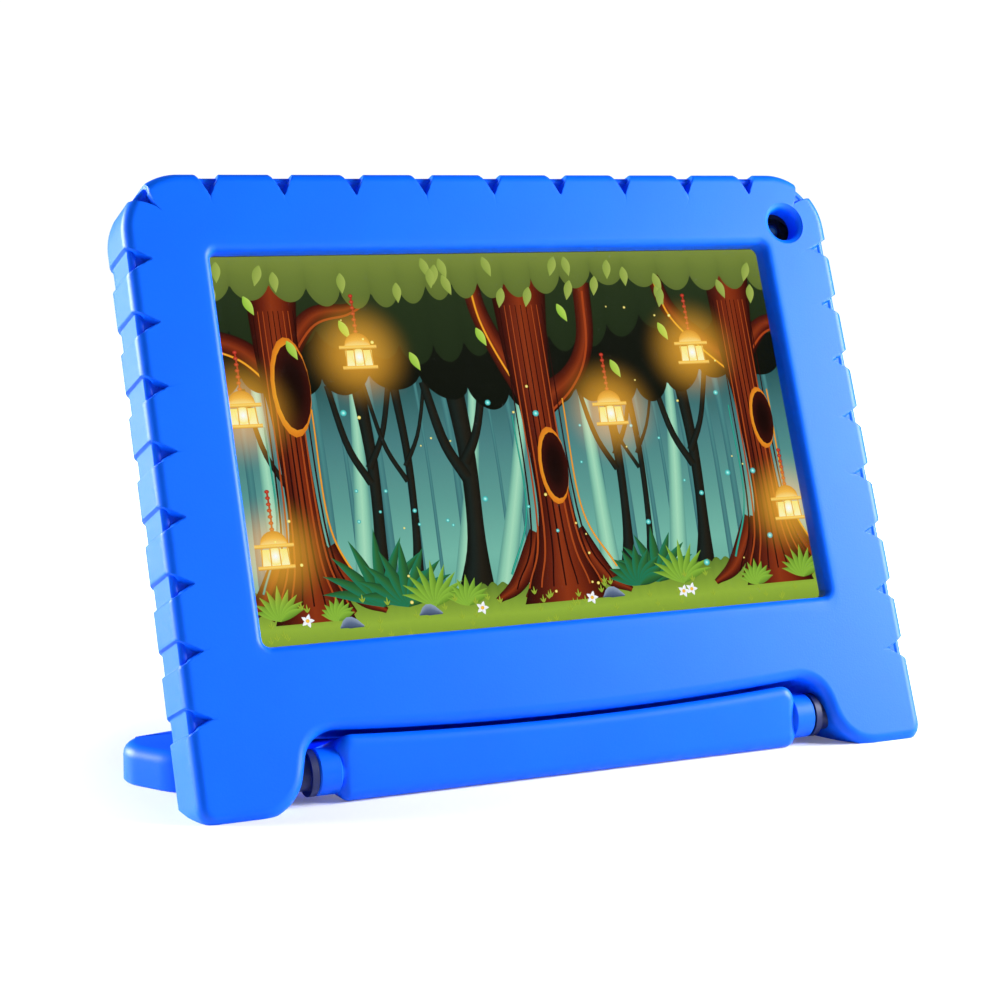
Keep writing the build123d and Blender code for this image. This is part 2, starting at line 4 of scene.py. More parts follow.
import bmesh
import bpy
import numpy as np
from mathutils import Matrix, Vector


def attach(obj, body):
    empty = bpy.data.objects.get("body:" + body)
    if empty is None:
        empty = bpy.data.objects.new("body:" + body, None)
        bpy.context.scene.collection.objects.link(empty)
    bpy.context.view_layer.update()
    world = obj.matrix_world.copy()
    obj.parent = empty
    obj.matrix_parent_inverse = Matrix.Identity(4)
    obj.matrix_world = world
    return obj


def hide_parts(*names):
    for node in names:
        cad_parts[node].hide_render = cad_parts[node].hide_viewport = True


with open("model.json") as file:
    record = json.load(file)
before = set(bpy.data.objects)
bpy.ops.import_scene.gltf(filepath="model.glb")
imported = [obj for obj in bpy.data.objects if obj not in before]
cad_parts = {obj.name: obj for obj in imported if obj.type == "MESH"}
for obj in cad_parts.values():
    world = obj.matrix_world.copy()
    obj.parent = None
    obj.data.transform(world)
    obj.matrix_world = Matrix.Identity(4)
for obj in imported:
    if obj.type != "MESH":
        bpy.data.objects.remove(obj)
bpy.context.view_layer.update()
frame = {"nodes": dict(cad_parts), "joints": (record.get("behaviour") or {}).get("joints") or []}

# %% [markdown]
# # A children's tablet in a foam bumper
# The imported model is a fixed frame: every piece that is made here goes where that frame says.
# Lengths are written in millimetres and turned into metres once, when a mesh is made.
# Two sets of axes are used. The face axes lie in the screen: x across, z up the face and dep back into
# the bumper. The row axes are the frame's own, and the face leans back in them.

MM = 0.001
LEAN = math.radians(21.3)
joints = {joint["name"]: joint for joint in frame["joints"]}
hinge_row = joints["handle_hinge"]["pos_m"]
HINGE_BACK, HINGE_HIGH = 10.0, 6.8         # the hinge, behind the feet's front line and over the floor
FOOT_LINE = hinge_row[1] / MM - HINGE_BACK
print("foot line at y =", round(FOOT_LINE, 2), "mm")


def face_to_row(x, dep, z):
    """Points of the face axes in the row's axes: a turn by the lean about the foot line, then a shift."""
    across = np.asarray(x, float) + 0 * np.asarray(z, float)
    back = np.asarray(dep) * math.cos(LEAN) + np.asarray(z) * math.sin(LEAN) + FOOT_LINE
    up = -np.asarray(dep) * math.sin(LEAN) + np.asarray(z) * math.cos(LEAN)
    return np.stack(np.broadcast_arrays(across, back, up), axis=-1) * MM


# %% [markdown]
# The camera stands to the left of the object and looks slightly down, from just over half a metre.
# A long lens keeps the sides of the face nearly parallel. The camera comes first, because every later
# choice is judged through it.

# %% Camera
CAMERA_FROM_NOTCHES = (-238.12, -510.63, 1.09)   # from the middle of the top notches' tips, row axes
NOTCH_TIPS = 148.0                                # up the face
LENS_SHARE = 2.2469                               # focal length over the width of the picture
CAMERA_YAW = math.radians(25.16)
CAMERA_DIP = math.radians(8.01)

tips = face_to_row(0, 0, NOTCH_TIPS)
camera_data = bpy.data.cameras.new("camera")
camera_data.lens = LENS_SHARE * camera_data.sensor_width
camera = bpy.data.objects.new("camera", camera_data)
camera.location = tips + np.array(CAMERA_FROM_NOTCHES) * MM
camera.rotation_euler = (math.pi / 2 - CAMERA_DIP, 0, -CAMERA_YAW)
bpy.context.scene.collection.objects.link(camera)
bpy.context.scene.camera = camera
bpy.context.scene.view_settings.view_transform = "Standard"
print("lens", round(camera_data.lens, 1), "mm at", [round(v, 3) for v in camera.location])

# %% [markdown]
# A mesh is made from a grid of points, one row after another, with a four-sided face between
# neighbours. A grid can close on itself round a loop. Rows that shrink to a point are welded there,
# and the normals are then turned outwards, so that each piece is a closed skin.

# %% Meshes from grids of points
def grid_faces(rows, columns, wrap_columns=False, wrap_rows=False):
    """Corner numbers of the quads between neighbours: i, i + 1 along a row and the same in the next."""
    i = np.arange(rows if wrap_rows else rows - 1)[:, None]
    j = np.arange(columns if wrap_columns else columns - 1)[None, :]
    next_i = (i + 1) % rows
    next_j = (j + 1) % columns
    corners = [i * columns + j, i * columns + next_j, next_i * columns + next_j, next_i * columns + j]
    return np.stack(np.broadcast_arrays(*corners), axis=-1).reshape(-1, 4)


WELD = 1e-6                                # points nearer than this, in metres, are one


def make_piece(name, points, faces, weld=WELD, smooth=True):
    """Object from points in metres and faces, with doubles welded and normals turned outwards."""
    mesh = bpy.data.meshes.new(name)
    mesh.from_pydata(np.asarray(points).reshape(-1, 3), [], faces.tolist())
    if weld:
        shape = bmesh.new()
        shape.from_mesh(mesh)
        bmesh.ops.remove_doubles(shape, verts=shape.verts, dist=weld)
        bmesh.ops.recalc_face_normals(shape, faces=shape.faces)
        shape.to_mesh(mesh)
        shape.free()
    mesh.polygons.foreach_set("use_smooth", np.full(len(mesh.polygons), smooth))
    piece = bpy.data.objects.new(name, mesh)
    bpy.context.scene.collection.objects.link(piece)
    print(name, len(mesh.polygons), "faces")
    return piece


# %% [markdown]
# Colours are written as sRGB hex values, the way a painter's chart gives them, and one function turns
# them to the linear values that light is worked out in. One more function adds a shader node with its
# settings and links.

# %% Colours and nodes
MIX_FIRST, MIX_SECOND, MIX_RESULT = 6, 7, 2       # the colour sockets of a Mix node


def linear(hex_colour):
    """Linear red, green, blue of an sRGB hex colour: the sRGB curve undone."""
    channels = np.array([int(hex_colour[i:i + 2], 16) for i in (1, 3, 5)]) / 255
    return np.where(channels <= 0.04045, channels / 12.92, ((channels + 0.055) / 1.055) ** 2.4)


def rgba(hex_colour):
    """The same with a full alpha, for a colour socket."""
    return (*linear(hex_colour), 1.0)


def add_node(tree, kind, links=None, **settings):
    """Adds a node. Settings name its properties or its sockets; links give a socket its source."""
    node = tree.nodes.new(kind)
    for key, value in settings.items():
        if hasattr(node, key):
            setattr(node, key, value)
        else:
            node.inputs[key.replace("_", " ")].default_value = value
    for socket, source in (links or {}).items():
        tree.links.new(source, node.inputs[socket])
    return node


def settle(shader, **constants):
    """Sets constants on a shader's own sockets."""
    for socket, value in constants.items():
        shader.inputs[socket.replace("_", " ")].default_value = value


def two_tone(tree, factor, colour, shade):
    """Mixes two near colours by a factor from 0 to 1."""
    mix = add_node(tree, "ShaderNodeMix", {"Factor": factor}, data_type="RGBA")
    mix.inputs[MIX_FIRST].default_value = rgba(colour)
    mix.inputs[MIX_SECOND].default_value = rgba(shade)
    return mix.outputs[MIX_RESULT]


def object_place(tree):
    """Coordinates of the piece itself, in metres, so that a grain has its real size."""
    return add_node(tree, "ShaderNodeTexCoord").outputs["Object"]


def new_material(name):
    """Empty node material with its shader and output."""
    material = bpy.data.materials.new(name)
    material.use_nodes = True
    tree = material.node_tree
    shader = tree.nodes["Principled BSDF"]
    return material, tree, shader


def paint(node_name, material):
    """Gives a carried-over piece of the frame its finish."""
    mesh = frame["nodes"][node_name].data
    mesh.materials.clear()
    mesh.materials.append(material)


# %% [markdown]
# ## Foam
# The bumper and the handle are closed-cell EVA foam, pressed in a heated mould. The mould leaves a
# thin closed skin: satin, very slightly uneven, with a soft highlight and no visible cells. The colour
# goes right through. A fine noise bump at about half a millimetre gives the skin its tooth, and a slow
# noise drifts the colour by a hair so that a wide flat face doesn't look like paper.

# %% Moulded EVA foam
def moulded_foam(name, colour, shade):
    """Satin foam skin: a slow drift between two near colours and a fine tooth."""
    material, tree, shader = new_material(name)
    place = object_place(tree)
    slow = add_node(tree, "ShaderNodeTexNoise", {"Vector": place}, Scale=60.0, Detail=2.0)
    tint = two_tone(tree, slow.outputs["Fac"], colour, shade)
    fine = add_node(tree, "ShaderNodeTexNoise", {"Vector": place}, Scale=2200.0, Detail=3.0)
    bump = add_node(tree, "ShaderNodeBump", {"Height": fine.outputs["Fac"]}, Strength=0.12, Distance=0.0002)
    tree.links.new(tint, shader.inputs["Base Color"])
    tree.links.new(bump.outputs["Normal"], shader.inputs["Normal"])
    settle(shader, Roughness=0.4, IOR=1.5, Specular_IOR_Level=0.2)
    return material


FOAM_BLUE = moulded_foam("eva_foam_moulded_blue", "#0064F8", "#005EF2")

# %% [markdown]
# ## Finishes of the pieces that keep their solid shape
# The rest of the tablet is hard: moulded plastics, plated and stamped metal, laminate, film and glass.
# One function makes them all from two near colours, a roughness, how metallic they are, and the size in
# millimetres of the grain that mixes the two colours and lifts the surface. Each row of the table is one
# real material; the comment by it says what it gives the eye.

# %% One function for the hard finishes
def hard_finish(name, colour, shade, roughness, metallic, grain, lift):
    """Material with a grain of a given size and height in millimetres."""
    material, tree, shader = new_material(name)
    grains = 1 / (grain * MM)
    noise = add_node(tree, "ShaderNodeTexNoise", {"Vector": object_place(tree)}, Scale=grains, Detail=2.0)
    height = noise.outputs["Fac"]
    bump = add_node(tree, "ShaderNodeBump", {"Height": height}, Strength=0.4, Distance=lift * MM)
    tree.links.new(two_tone(tree, height, colour, shade), shader.inputs["Base Color"])
    tree.links.new(bump.outputs["Normal"], shader.inputs["Normal"])
    settle(shader, Roughness=roughness, Metallic=metallic)
    return material


FINISHES = [
    # spark-eroded mould texture: matt, with a fine even tooth that scatters highlights
    ("abs_moulded_textured_blue", "#0A47B4", "#0842AA", 0.55, 0.0, 0.5, 0.02, ["rear_cover"]),
    ("abs_moulded_textured_black", "#0A0C10", "#101318", 0.55, 0.0, 0.5, 0.02, ["bezel_frame"]),
    # pressed caps of the same plastic, smoother where fingers touch
    ("abs_moulded_smooth_blue", "#0B4DC0", "#0A48B6", 0.35, 0.0, 0.8, 0.005,
     ["power_button", "volume_rocker"]),
    # moulded nylon bushes, half-matt and slightly waxy: their deep navy is painted shade, so that they read
    # as the dark recess between the bar and the leg
    ("nylon_moulded_dark", "#06154A", "#081A56", 0.5, 0.0, 0.6, 0.01, ["hinge_bushes"]),
    # ground steel: bright, with a grain too fine to see one by one that softens its highlights
    ("steel_ground_bright", "#B9BEC4", "#A8ADB4", 0.25, 1.0, 0.15, 0.002, ["hinge_rod"]),
    # zinc-plated screws with a slightly cloudy plating
    ("steel_zinc_plated", "#C3C7CC", "#B1B7BF", 0.35, 1.0, 0.4, 0.003, ["board_screws"]),
    # stamped tin-plated sheet: bright and faintly clouded
    ("steel_tin_plated_stamped", "#C9CBCD", "#B8BABC", 0.3, 1.0, 0.3, 0.003,
     ["shield_can", "charging_port", "card_slot"]),
    # white-painted reflector tray with the light guide inside it
    ("polycarbonate_tray_white", "#E9ECEE", "#DFE3E6", 0.45, 0.0, 0.6, 0.004, ["backlight_unit"]),
    # solder mask on glass-fibre laminate: glossy green, just uneven over the weave
    ("laminate_solder_mask_green", "#0E5A33", "#0C4E2C", 0.3, 0.0, 0.9, 0.01, ["main_board"]),
    # transfer-moulded chip resin: near black, dull
    ("epoxy_moulded_black", "#16171A", "#1C1D21", 0.6, 0.0, 0.3, 0.006, ["board_chips", "microphone"]),
    # laminated foil pouch of the lithium cell: soft wrinkled silver
    ("foil_pouch_laminated", "#B4B8BC", "#A2A7AC", 0.4, 0.8, 3.0, 0.05, ["battery"]),
    # tacky acrylic foam tape, dead matt
    ("acrylic_tape_black", "#1A1A1C", "#202023", 0.8, 0.0, 0.4, 0.02, ["battery_pads"]),
    # extruded wire insulation: smooth and a little shiny
    ("pvc_extruded_red", "#B3201C", "#A51C19", 0.35, 0.0, 1.5, 0.004,
     ["battery_leads", "speaker_leads"]),
    # moulded speaker box with a half-gloss face
    ("polycarbonate_moulded_black", "#111214", "#17181B", 0.4, 0.0, 0.5, 0.006,
     ["speaker", "headphone_jack"]),
    # copper track under amber polyimide film
    ("polyimide_film_amber", "#B5701F", "#A3631A", 0.3, 0.1, 1.0, 0.004,
     ["display_flex", "touch_flex", "antenna"]),
    # camera bodies: anodised black metal with a low sheen
    ("aluminium_anodised_black", "#0B0D10", "#111418", 0.4, 0.6, 0.25, 0.003,
     ["front_camera", "rear_camera"]),
    # tact switches: pale nylon bodies
    ("nylon_moulded_pale", "#D8D4C8", "#CCC8BC", 0.5, 0.0, 0.4, 0.005,
     ["power_switch", "volume_switches"]),
]
for *settings, nodes in FINISHES:
    finish = hard_finish(*settings)
    for node_name in nodes:
        paint(node_name, finish)
print("hard finishes:", len(FINISHES))

# %% [markdown]
# A lens window is coated glass over a black barrel. Its colour is worked out from the distance to its own
# middle: a dark ring, a teal coating ring inside it, and a grey-green centre like the photo cell behind.

# %% Lens windows
RINGS = [(0.0, "#6E8C84"), (0.42, "#55736C"), (0.5, "#0E4E57"),
         (0.68, "#0B3A44"), (0.78, "#05080B"), (1.0, "#030405")]


def distance_from(tree, centre):
    """Distance of each point from a centre, both in metres."""
    away = add_node(tree, "ShaderNodeVectorMath", {0: object_place(tree)}, operation="DISTANCE")
    away.inputs[1].default_value = centre
    return away.outputs["Value"]


def lens_window(name, node_name, radius):
    """Coated window whose colour depends on the distance from the middle of its own points."""
    mesh = frame["nodes"][node_name].data
    points = np.empty(len(mesh.vertices) * 3)
    mesh.vertices.foreach_get("co", points)
    points = points.reshape(-1, 3)
    material, tree, shader = new_material(name)
    away = distance_from(tree, (points.min(axis=0) + points.max(axis=0)) / 2)
    share = add_node(tree, "ShaderNodeMapRange", {"Value": away}, From_Max=radius * MM)
    ramp = add_node(tree, "ShaderNodeValToRGB", {"Fac": share.outputs["Result"]})
    while len(ramp.color_ramp.elements) < len(RINGS):
        ramp.color_ramp.elements.new(0.5)
    for element, (position, colour) in zip(ramp.color_ramp.elements, RINGS):
        element.position = position
        element.color = rgba(colour)
    tree.links.new(ramp.outputs["Color"], shader.inputs["Base Color"])
    settle(shader, Roughness=0.08, IOR=1.5)
    paint(node_name, material)


lens_window("lens_window_coated_front", "front_camera_lens", 2.2)
lens_window("lens_window_coated_rear", "rear_camera_window", 3.6)

# %% [markdown]
# ## Outlines with rounded corners
# The bumper, the bar and the loop of the handle were all cut or moulded from an outline with a
# thickness, and their edges are rounded. So one way of making serves for all three: an outline is
# walked once round at many points, and each row of the mesh is that outline drawn in by some distance
# at some depth. A round edge is a row of insets and depths that follow a quarter circle.

# %% A rounded outline and its even or crowded sampling
def rounded_outline(corners, radii, step=0.05):
    """Points and outward normals along an anticlockwise polygon whose corners are arcs.

    Each corner's arc touches both edges at radius * tan(turn / 2) from the corner. A straight run
    joins one arc's end to the next one's start. Normals stand square to the runs and follow the arcs.
    """
    corners = np.array(corners, float)
    ahead = np.roll(corners, -1, axis=0) - corners
    ahead /= np.linalg.norm(ahead, axis=1)[:, None]
    behind = np.roll(ahead, 1, axis=0)
    turn = np.arctan2(behind[:, 0] * ahead[:, 1] - behind[:, 1] * ahead[:, 0], (behind * ahead).sum(axis=1))
    reach = np.array(radii) * np.tan(np.abs(turn) / 2)
    starts = corners - behind * reach[:, None]
    ends = corners + ahead * reach[:, None]
    points, normals = [], []
    for i, radius in enumerate(radii):
        count = max(2, int(radius * abs(turn[i]) / step))
        share = np.linspace(0, 1, count, endpoint=False) * turn[i]
        first = np.array([behind[i, 1], -behind[i, 0]])
        spin = np.stack([np.cos(share) * first[0] - np.sin(share) * first[1],
                         np.sin(share) * first[0] + np.cos(share) * first[1]], axis=1)
        side = np.sign(turn[i])
        points.append(starts[i] + side * radius * (spin - first))
        normals.append(spin)
        gap = np.roll(starts, -1, axis=0)[i] - ends[i]
        count = max(2, int(np.linalg.norm(gap) / step))
        points.append(ends[i] + np.linspace(0, 1, count, endpoint=False)[:, None] * gap)
        normals.append(np.tile([ahead[i, 1], -ahead[i, 0]], (count, 1)))
    return np.concatenate(points), np.concatenate(normals)


def start_at(outline, place):
    """The same closed outline, begun at its point nearest to a place."""
    points, normals = outline
    first = -int(np.argmin(((points - place) ** 2).sum(axis=1)))
    return np.roll(points, first, axis=0), np.roll(normals, first, axis=0)


def along(points):
    """Distance walked from the first point to each point of a closed outline, and the whole way round."""
    steps = np.linalg.norm(np.roll(points, -1, axis=0) - points, axis=1)
    return np.concatenate([[0], np.cumsum(steps)[:-1]]), steps.sum()


def pick(outline, distances):
    """Points and unit normals of an outline at distances walked round it."""
    points, normals = outline
    walked, whole = along(points)
    found = [np.interp(distances, walked, column, period=whole) for column in np.hstack([points, normals]).T]
    place = np.stack(found[:2], axis=1)
    normal = np.stack(found[2:], axis=1)
    return place, normal / np.linalg.norm(normal, axis=1)[:, None]


def crowded(outline, count, crowding):
    """Distances at which to sample an outline: closer together where crowding is larger."""
    walked, whole = along(outline[0])
    share = np.cumsum(crowding)
    return np.interp(np.linspace(0, share[-1], count, endpoint=False), share, walked)


def quarter(radius, count, flip=False):
    """Insets and depths of a round edge: radius * (1 - sin a) and radius * (1 - cos a), a quarter turn."""
    angle = np.linspace(0, math.pi / 2, count)
    inset, depth = radius * (1 - np.sin(angle)), radius * (1 - np.cos(angle))
    return (inset[::-1], depth[::-1]) if flip else (inset, depth)


# %% [markdown]
# Some pieces need a hole cut or two solids made one. A Boolean modifier does it on finished meshes, and
# its result is applied so that the piece stays one plain closed skin.

# %% Cutting, joining and finishing
def apply_modifiers(piece):
    """Puts what the modifiers make into the piece's own mesh."""
    bpy.context.view_layer.update()
    shown = piece.evaluated_get(bpy.context.evaluated_depsgraph_get())
    mesh = bpy.data.meshes.new_from_object(shown)
    piece.modifiers.clear()
    piece.data = mesh


def combine(piece, others, operation):
    """Cuts other pieces out of one, or joins them to it, removes them, and fills any pinhole left."""
    for other in others:
        step = piece.modifiers.new(other.name, "BOOLEAN")
        step.operation = operation
        step.object = other
        step.solver = "EXACT"
    apply_modifiers(piece)
    for other in others:
        bpy.data.objects.remove(other)
    shape = bmesh.new()
    shape.from_mesh(piece.data)
    bmesh.ops.dissolve_degenerate(shape, edges=shape.edges, dist=WELD)
    rim = [edge for edge in shape.edges if edge.is_boundary]
    bmesh.ops.holes_fill(shape, edges=rim, sides=12)
    shape.to_mesh(piece.data)
    shape.free()


def stand_flat(piece):
    """Slices the piece off at the floor and closes the cut."""
    shape = bmesh.new()
    shape.from_mesh(piece.data)
    parts = shape.verts[:] + shape.edges[:] + shape.faces[:]
    bmesh.ops.bisect_plane(shape, geom=parts, plane_co=(0, 0, 0), plane_no=(0, 0, -1), clear_outer=True)
    rim = [edge for edge in shape.edges if edge.is_boundary]
    bmesh.ops.edgeloop_fill(shape, edges=rim)
    bmesh.ops.recalc_face_normals(shape, faces=shape.faces)
    shape.to_mesh(piece.data)
    shape.free()


def finish_shape(piece, body, material, crease=40):
    """Crisp edges above an angle, one material, and the body of the frame that it belongs to."""
    piece.data.materials.clear()
    piece.data.materials.append(material)
    piece.data.set_sharp_from_angle(angle=math.radians(crease))
    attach(piece, body)
    open_edges = np.zeros(len(piece.data.edges), int)
    loops = np.zeros(len(piece.data.loops), int)
    piece.data.loops.foreach_get("edge_index", loops)
    np.add.at(open_edges, loops, 1)
    print(piece.name, len(piece.data.polygons), "faces,", int((open_edges != 2).sum()), "open edges")


def turned(name, profile, centre_x, centre_z, count=96):
    """Closed lathe shape about a line square to the face: its profile (radius, dep) turned all the way."""
    radius, dep = np.array(profile, float).T
    angle = np.arange(count) * 2 * math.pi / count
    x = centre_x + radius[:, None] * np.cos(angle)
    z = centre_z + radius[:, None] * np.sin(angle)
    faces = grid_faces(len(radius), count, wrap_columns=True)
    return make_piece(name, face_to_row(x, dep[:, None], z), faces)


# %% [markdown]
# ## The bumper
# The bumper is one soft moulding that wraps the tablet: a window in front, a pocket inside, two feet
# and a shallow arch between them. Its outer edge is gouged with a row of little notches that are
# deepest at the front and fade to a faint groove behind. Pulled rows suit it, because
# the notches and the groove for the hinge are only extra insets that change round the outline.

# %% The bumper's sizes, in millimetres
HALF_WIDTH, HEIGHT, DEPTH = 95.5, 152.3, 19.5
WINDOW_HALF, WINDOW_LOW, WINDOW_HIGH = 75.35, 38.6, 132.8
FOOT_INSIDE, ARCH_SIDE, ARCH_TOP, ARCH_RISE = 72.0, 67.3, 18.8, 2.4
NOTCH_HALF, NOTCH_DEEP, NOTCH_SOFT = 2.9, 5.6, 0.6       # half its width, its reach over the front, its walls
SIDE_CUT, FRONT_CUT = 0.8, 2.2                          # how deep it is in the side and in the front
FRONT_ROUND, REAR_ROUND = 2.6, 5.0
TOP_ROUND, HEEL_ROUND, ARCH_END_ROUND, FOOT_ROUND = 15, 4.5, 8, 12
HINGE_DEP, HINGE_UP = 6.85, 9.97                        # the hinge in the face axes
POCKET_FRONT, POCKET_BACK, POCKET_ROUND = 5.15, 15.15, 8.0
POCKET_HALF, POCKET_TALL = 89.6, 57.35                  # half its width and half its height
LIP_ROUND = 2.0
CENTRE_Z = (WINDOW_LOW + WINDOW_HIGH) / 2
BAR_GAP, BAR_FRONT_TOP, BAR_ROUND = 0.9, 6.7, 3.0       # the handle's bar under the arch
SWEEP_ROOM, CHANNEL_END, CHANNEL_FADE = 0.4, 63.0, 1.5  # the channel that the bar turns in


def arch_height(x):
    """Height of the arch's edge: a shallow bow, lowest in the middle."""
    return ARCH_TOP - ARCH_RISE * (1 - np.minimum(np.abs(x) / ARCH_SIDE, 1) ** 2)


case_corners = [(ARCH_SIDE, ARCH_TOP), (FOOT_INSIDE, 0), (HALF_WIDTH, 0), (HALF_WIDTH, HEIGHT)]
case_corners += [(-x, z) for x, z in reversed(case_corners)]
half_radii = [ARCH_END_ROUND, FOOT_ROUND, HEEL_ROUND, TOP_ROUND]
case_radii = half_radii + half_radii[::-1]
case_points, case_normals = rounded_outline(case_corners, case_radii)
in_arch = (np.abs(case_points[:, 0]) < ARCH_SIDE) & (case_points[:, 1] < 2 * ARCH_TOP)
case_points[:, 1] -= np.where(in_arch, ARCH_TOP - arch_height(case_points[:, 0]), 0)
case_edge = start_at((case_points, case_normals), (0, 0))
print("bumper outline", round(along(case_edge[0])[1]), "mm round")

# %% Where the notches are
TOP_PITCH, TOP_COUNT, SIDE_PITCH, SIDE_COUNT, SIDE_START = 18.38, 9, 15.34, 8, 21.3
corner_in = TOP_ROUND * (1 - math.sqrt(0.5))
top_x = (np.arange(TOP_COUNT) - TOP_COUNT // 2) * TOP_PITCH
side_z = HEIGHT - SIDE_START - np.arange(SIDE_COUNT) * SIDE_PITCH
notch_places = np.concatenate([
    np.stack([top_x, np.full(TOP_COUNT, HEIGHT)], axis=1),
    np.stack([np.full(SIDE_COUNT, HALF_WIDTH), side_z], axis=1),
    np.stack([np.full(SIDE_COUNT, -HALF_WIDTH), side_z], axis=1),
    np.array([(HALF_WIDTH - corner_in, HEIGHT - corner_in), (corner_in - HALF_WIDTH, HEIGHT - corner_in)]),
])


def notch_share(points, inset):
    """How far into a notch each point is: 1 well inside it, 0 outside, with a soft step between.

    Across the side a notch is a band of constant width. Over the front it narrows to its tip:
    half width = NOTCH_HALF * (1 - inset / NOTCH_DEEP), and the step is eased as 3 s s - 2 s s s.
    """
    gap = np.linalg.norm(points[:, None] - notch_places[None], axis=2).min(axis=1)
    share = np.clip((NOTCH_HALF * (1 - inset / NOTCH_DEEP) - gap) / NOTCH_SOFT + 0.5, 0, 1)
    return share ** 2 * (3 - 2 * share)


# %% The window and the pocket, matched to the outline
EDGE_SAMPLES, NOTCH_CROWDING, CROWD_REACH = 1560, 4, 3.4
gap_to_notch = np.linalg.norm(case_edge[0][:, None] - notch_places[None], axis=2).min(axis=1)
crowding = 1 + NOTCH_CROWDING * np.exp(-(gap_to_notch / CROWD_REACH) ** 8)
walked = crowded(case_edge, EDGE_SAMPLES, crowding)
edge, edge_out = pick(case_edge, walked)
half_pairs = [
    ((0, 16.4), (0, WINDOW_LOW)), ((60, 18.3), (58, WINDOW_LOW)), ((69.3, 14), (68, WINDOW_LOW)),
    ((72.5, 6), (73.5, WINDOW_LOW)), ((84, 0), (WINDOW_HALF, 41)), ((91, 0), (WINDOW_HALF, 46)),
    ((HALF_WIDTH, 4.5), (WINDOW_HALF, 50)), ((HALF_WIDTH, 30), (WINDOW_HALF, 58)),
    ((HALF_WIDTH, 60), (WINDOW_HALF, 72)), ((HALF_WIDTH, 137), (WINDOW_HALF, 129)),
    ((91, 148), (74.8, 132.2)), ((80.5, HEIGHT), (72, WINDOW_HIGH)), ((0, HEIGHT), (0, WINDOW_HIGH)),
]
pairs = np.array(half_pairs + [((-a, b), (-c, d)) for (a, b), (c, d) in reversed(half_pairs[1:-1])])


def matched(corners, radius, grow_x, grow_z):
    """Points and normals of a rounded rectangle, one for each sample of the bumper's edge.

    Pairs of places tie the two outlines together, and the distances walked between them are shared
    out evenly. The pairs lie on the window; a larger rectangle stretches them away from its middle.
    """
    rectangle = start_at(rounded_outline(corners, [radius] * 4), (0, corners[0][1]))
    middle = np.array([0, CENTRE_Z])
    places = (pairs[:, 1] - middle) * (grow_x, grow_z) + middle
    rect_walked, rect_whole = along(rectangle[0])
    case_walked, case_whole = along(case_edge[0])
    keys_case = case_walked[np.argmin(((case_edge[0][:, None] - pairs[None, :, 0]) ** 2).sum(axis=2), axis=0)]
    keys_rect = rect_walked[np.argmin(((rectangle[0][:, None] - places[None]) ** 2).sum(axis=2), axis=0)]
    keys_case = np.append(keys_case, case_whole)
    keys_rect = np.append(keys_rect, rect_whole)
    return pick(rectangle, np.interp(walked, keys_case, keys_rect))


def rectangle_corners(half, low, high):
    """Corners of an upright rectangle about the middle line, anticlockwise."""
    return [(-half, low), (half, low), (half, high), (-half, high)]


window, window_out = matched(rectangle_corners(WINDOW_HALF, WINDOW_LOW, WINDOW_HIGH), 2.0, 1, 1)
pocket_corners = rectangle_corners(POCKET_HALF, CENTRE_Z - POCKET_TALL, CENTRE_Z + POCKET_TALL)
pocket, _ = matched(pocket_corners, POCKET_ROUND, POCKET_HALF / WINDOW_HALF,
                    POCKET_TALL / (CENTRE_Z - WINDOW_LOW))

# %% The rows of the bumper, from the middle of its back round to the floor of its pocket
NOTCH_STEPS, NOTCH_STEP = 12, 0.28             # rings of the front that the notches run over
bow = arch_height(edge[:, 0])
in_channel = (edge[:, 1] < 2 * ARCH_TOP) * np.clip((CHANNEL_END - np.abs(edge[:, 0])) / CHANNEL_FADE, 0, 1)
ahead_of_hinge = HINGE_BACK - BAR_FRONT_TOP
reach = (bow - HINGE_UP - BAR_GAP + ahead_of_hinge * math.sin(LEAN)) / math.cos(LEAN)
drum = np.hypot(ahead_of_hinge - BAR_ROUND, reach - BAR_ROUND) + BAR_ROUND + SWEEP_ROOM
inner_leg = (np.abs(edge[:, 0]) < 80) & (edge[:, 1] < 30)
near_foot = np.where(inner_leg, 0.3, np.interp(edge[:, 1], [12, 18], [0.3, 1.0]))
rows = []


def add_row(points, dep):
    """One ring of the bumper from points on the face, at one depth or at a depth for each."""
    rows.append(face_to_row(points[:, 0], np.broadcast_to(dep, len(points)), points[:, 1]))


def edge_row(inset, dep, angle, cut):
    """One ring of the rounded edge. A notch sinks it by cut, square to the skin: angle is 90 degrees on
    the side and 0 on the front. The hinge channel draws the arch in to the arc that the bar sweeps."""
    sink = notch_share(edge, inset if np.ndim(inset) == 0 else inset.max()) * cut
    dep = dep + sink * math.cos(angle)
    room = HINGE_UP + np.sqrt(np.maximum(drum ** 2 - (dep - HINGE_DEP) ** 2, 0)) - bow
    total = inset + sink * math.sin(angle) + np.maximum(room, 0) * in_channel
    add_row(edge - edge_out * total[:, None], dep)


middle = np.zeros_like(edge) + (0, CENTRE_Z)
add_row(middle, DEPTH)
for part in (0.5, 0.96):
    add_row(middle + (window - middle) * part, DEPTH)
rear_inset = np.where(inner_leg, 5.3, np.interp(edge[:, 1], [6, 20], [5.1, 6.6]))
add_row(edge - edge_out * rear_inset[:, None], DEPTH)
quarter_turn = math.pi / 2
for angle in np.linspace(0.12, 1, 8) * quarter_turn:
    edge_row(REAR_ROUND * (1 - math.sin(angle)), DEPTH - REAR_ROUND * (1 - math.cos(angle)), quarter_turn,
             SIDE_CUT * math.sin(angle))
for dep in (13, 11.5, 10.2, 9, 8, 6.85, 5.8, 4.8, 4, 3.3):
    edge_row(0.0, dep, quarter_turn, SIDE_CUT)
for angle in np.linspace(1, 0, 11) * quarter_turn:
    cut = SIDE_CUT + (FRONT_CUT - SIDE_CUT) * math.cos(angle)
    edge_row(FRONT_ROUND * (1 - math.sin(angle)), FRONT_ROUND * (1 - math.cos(angle)), angle, cut)
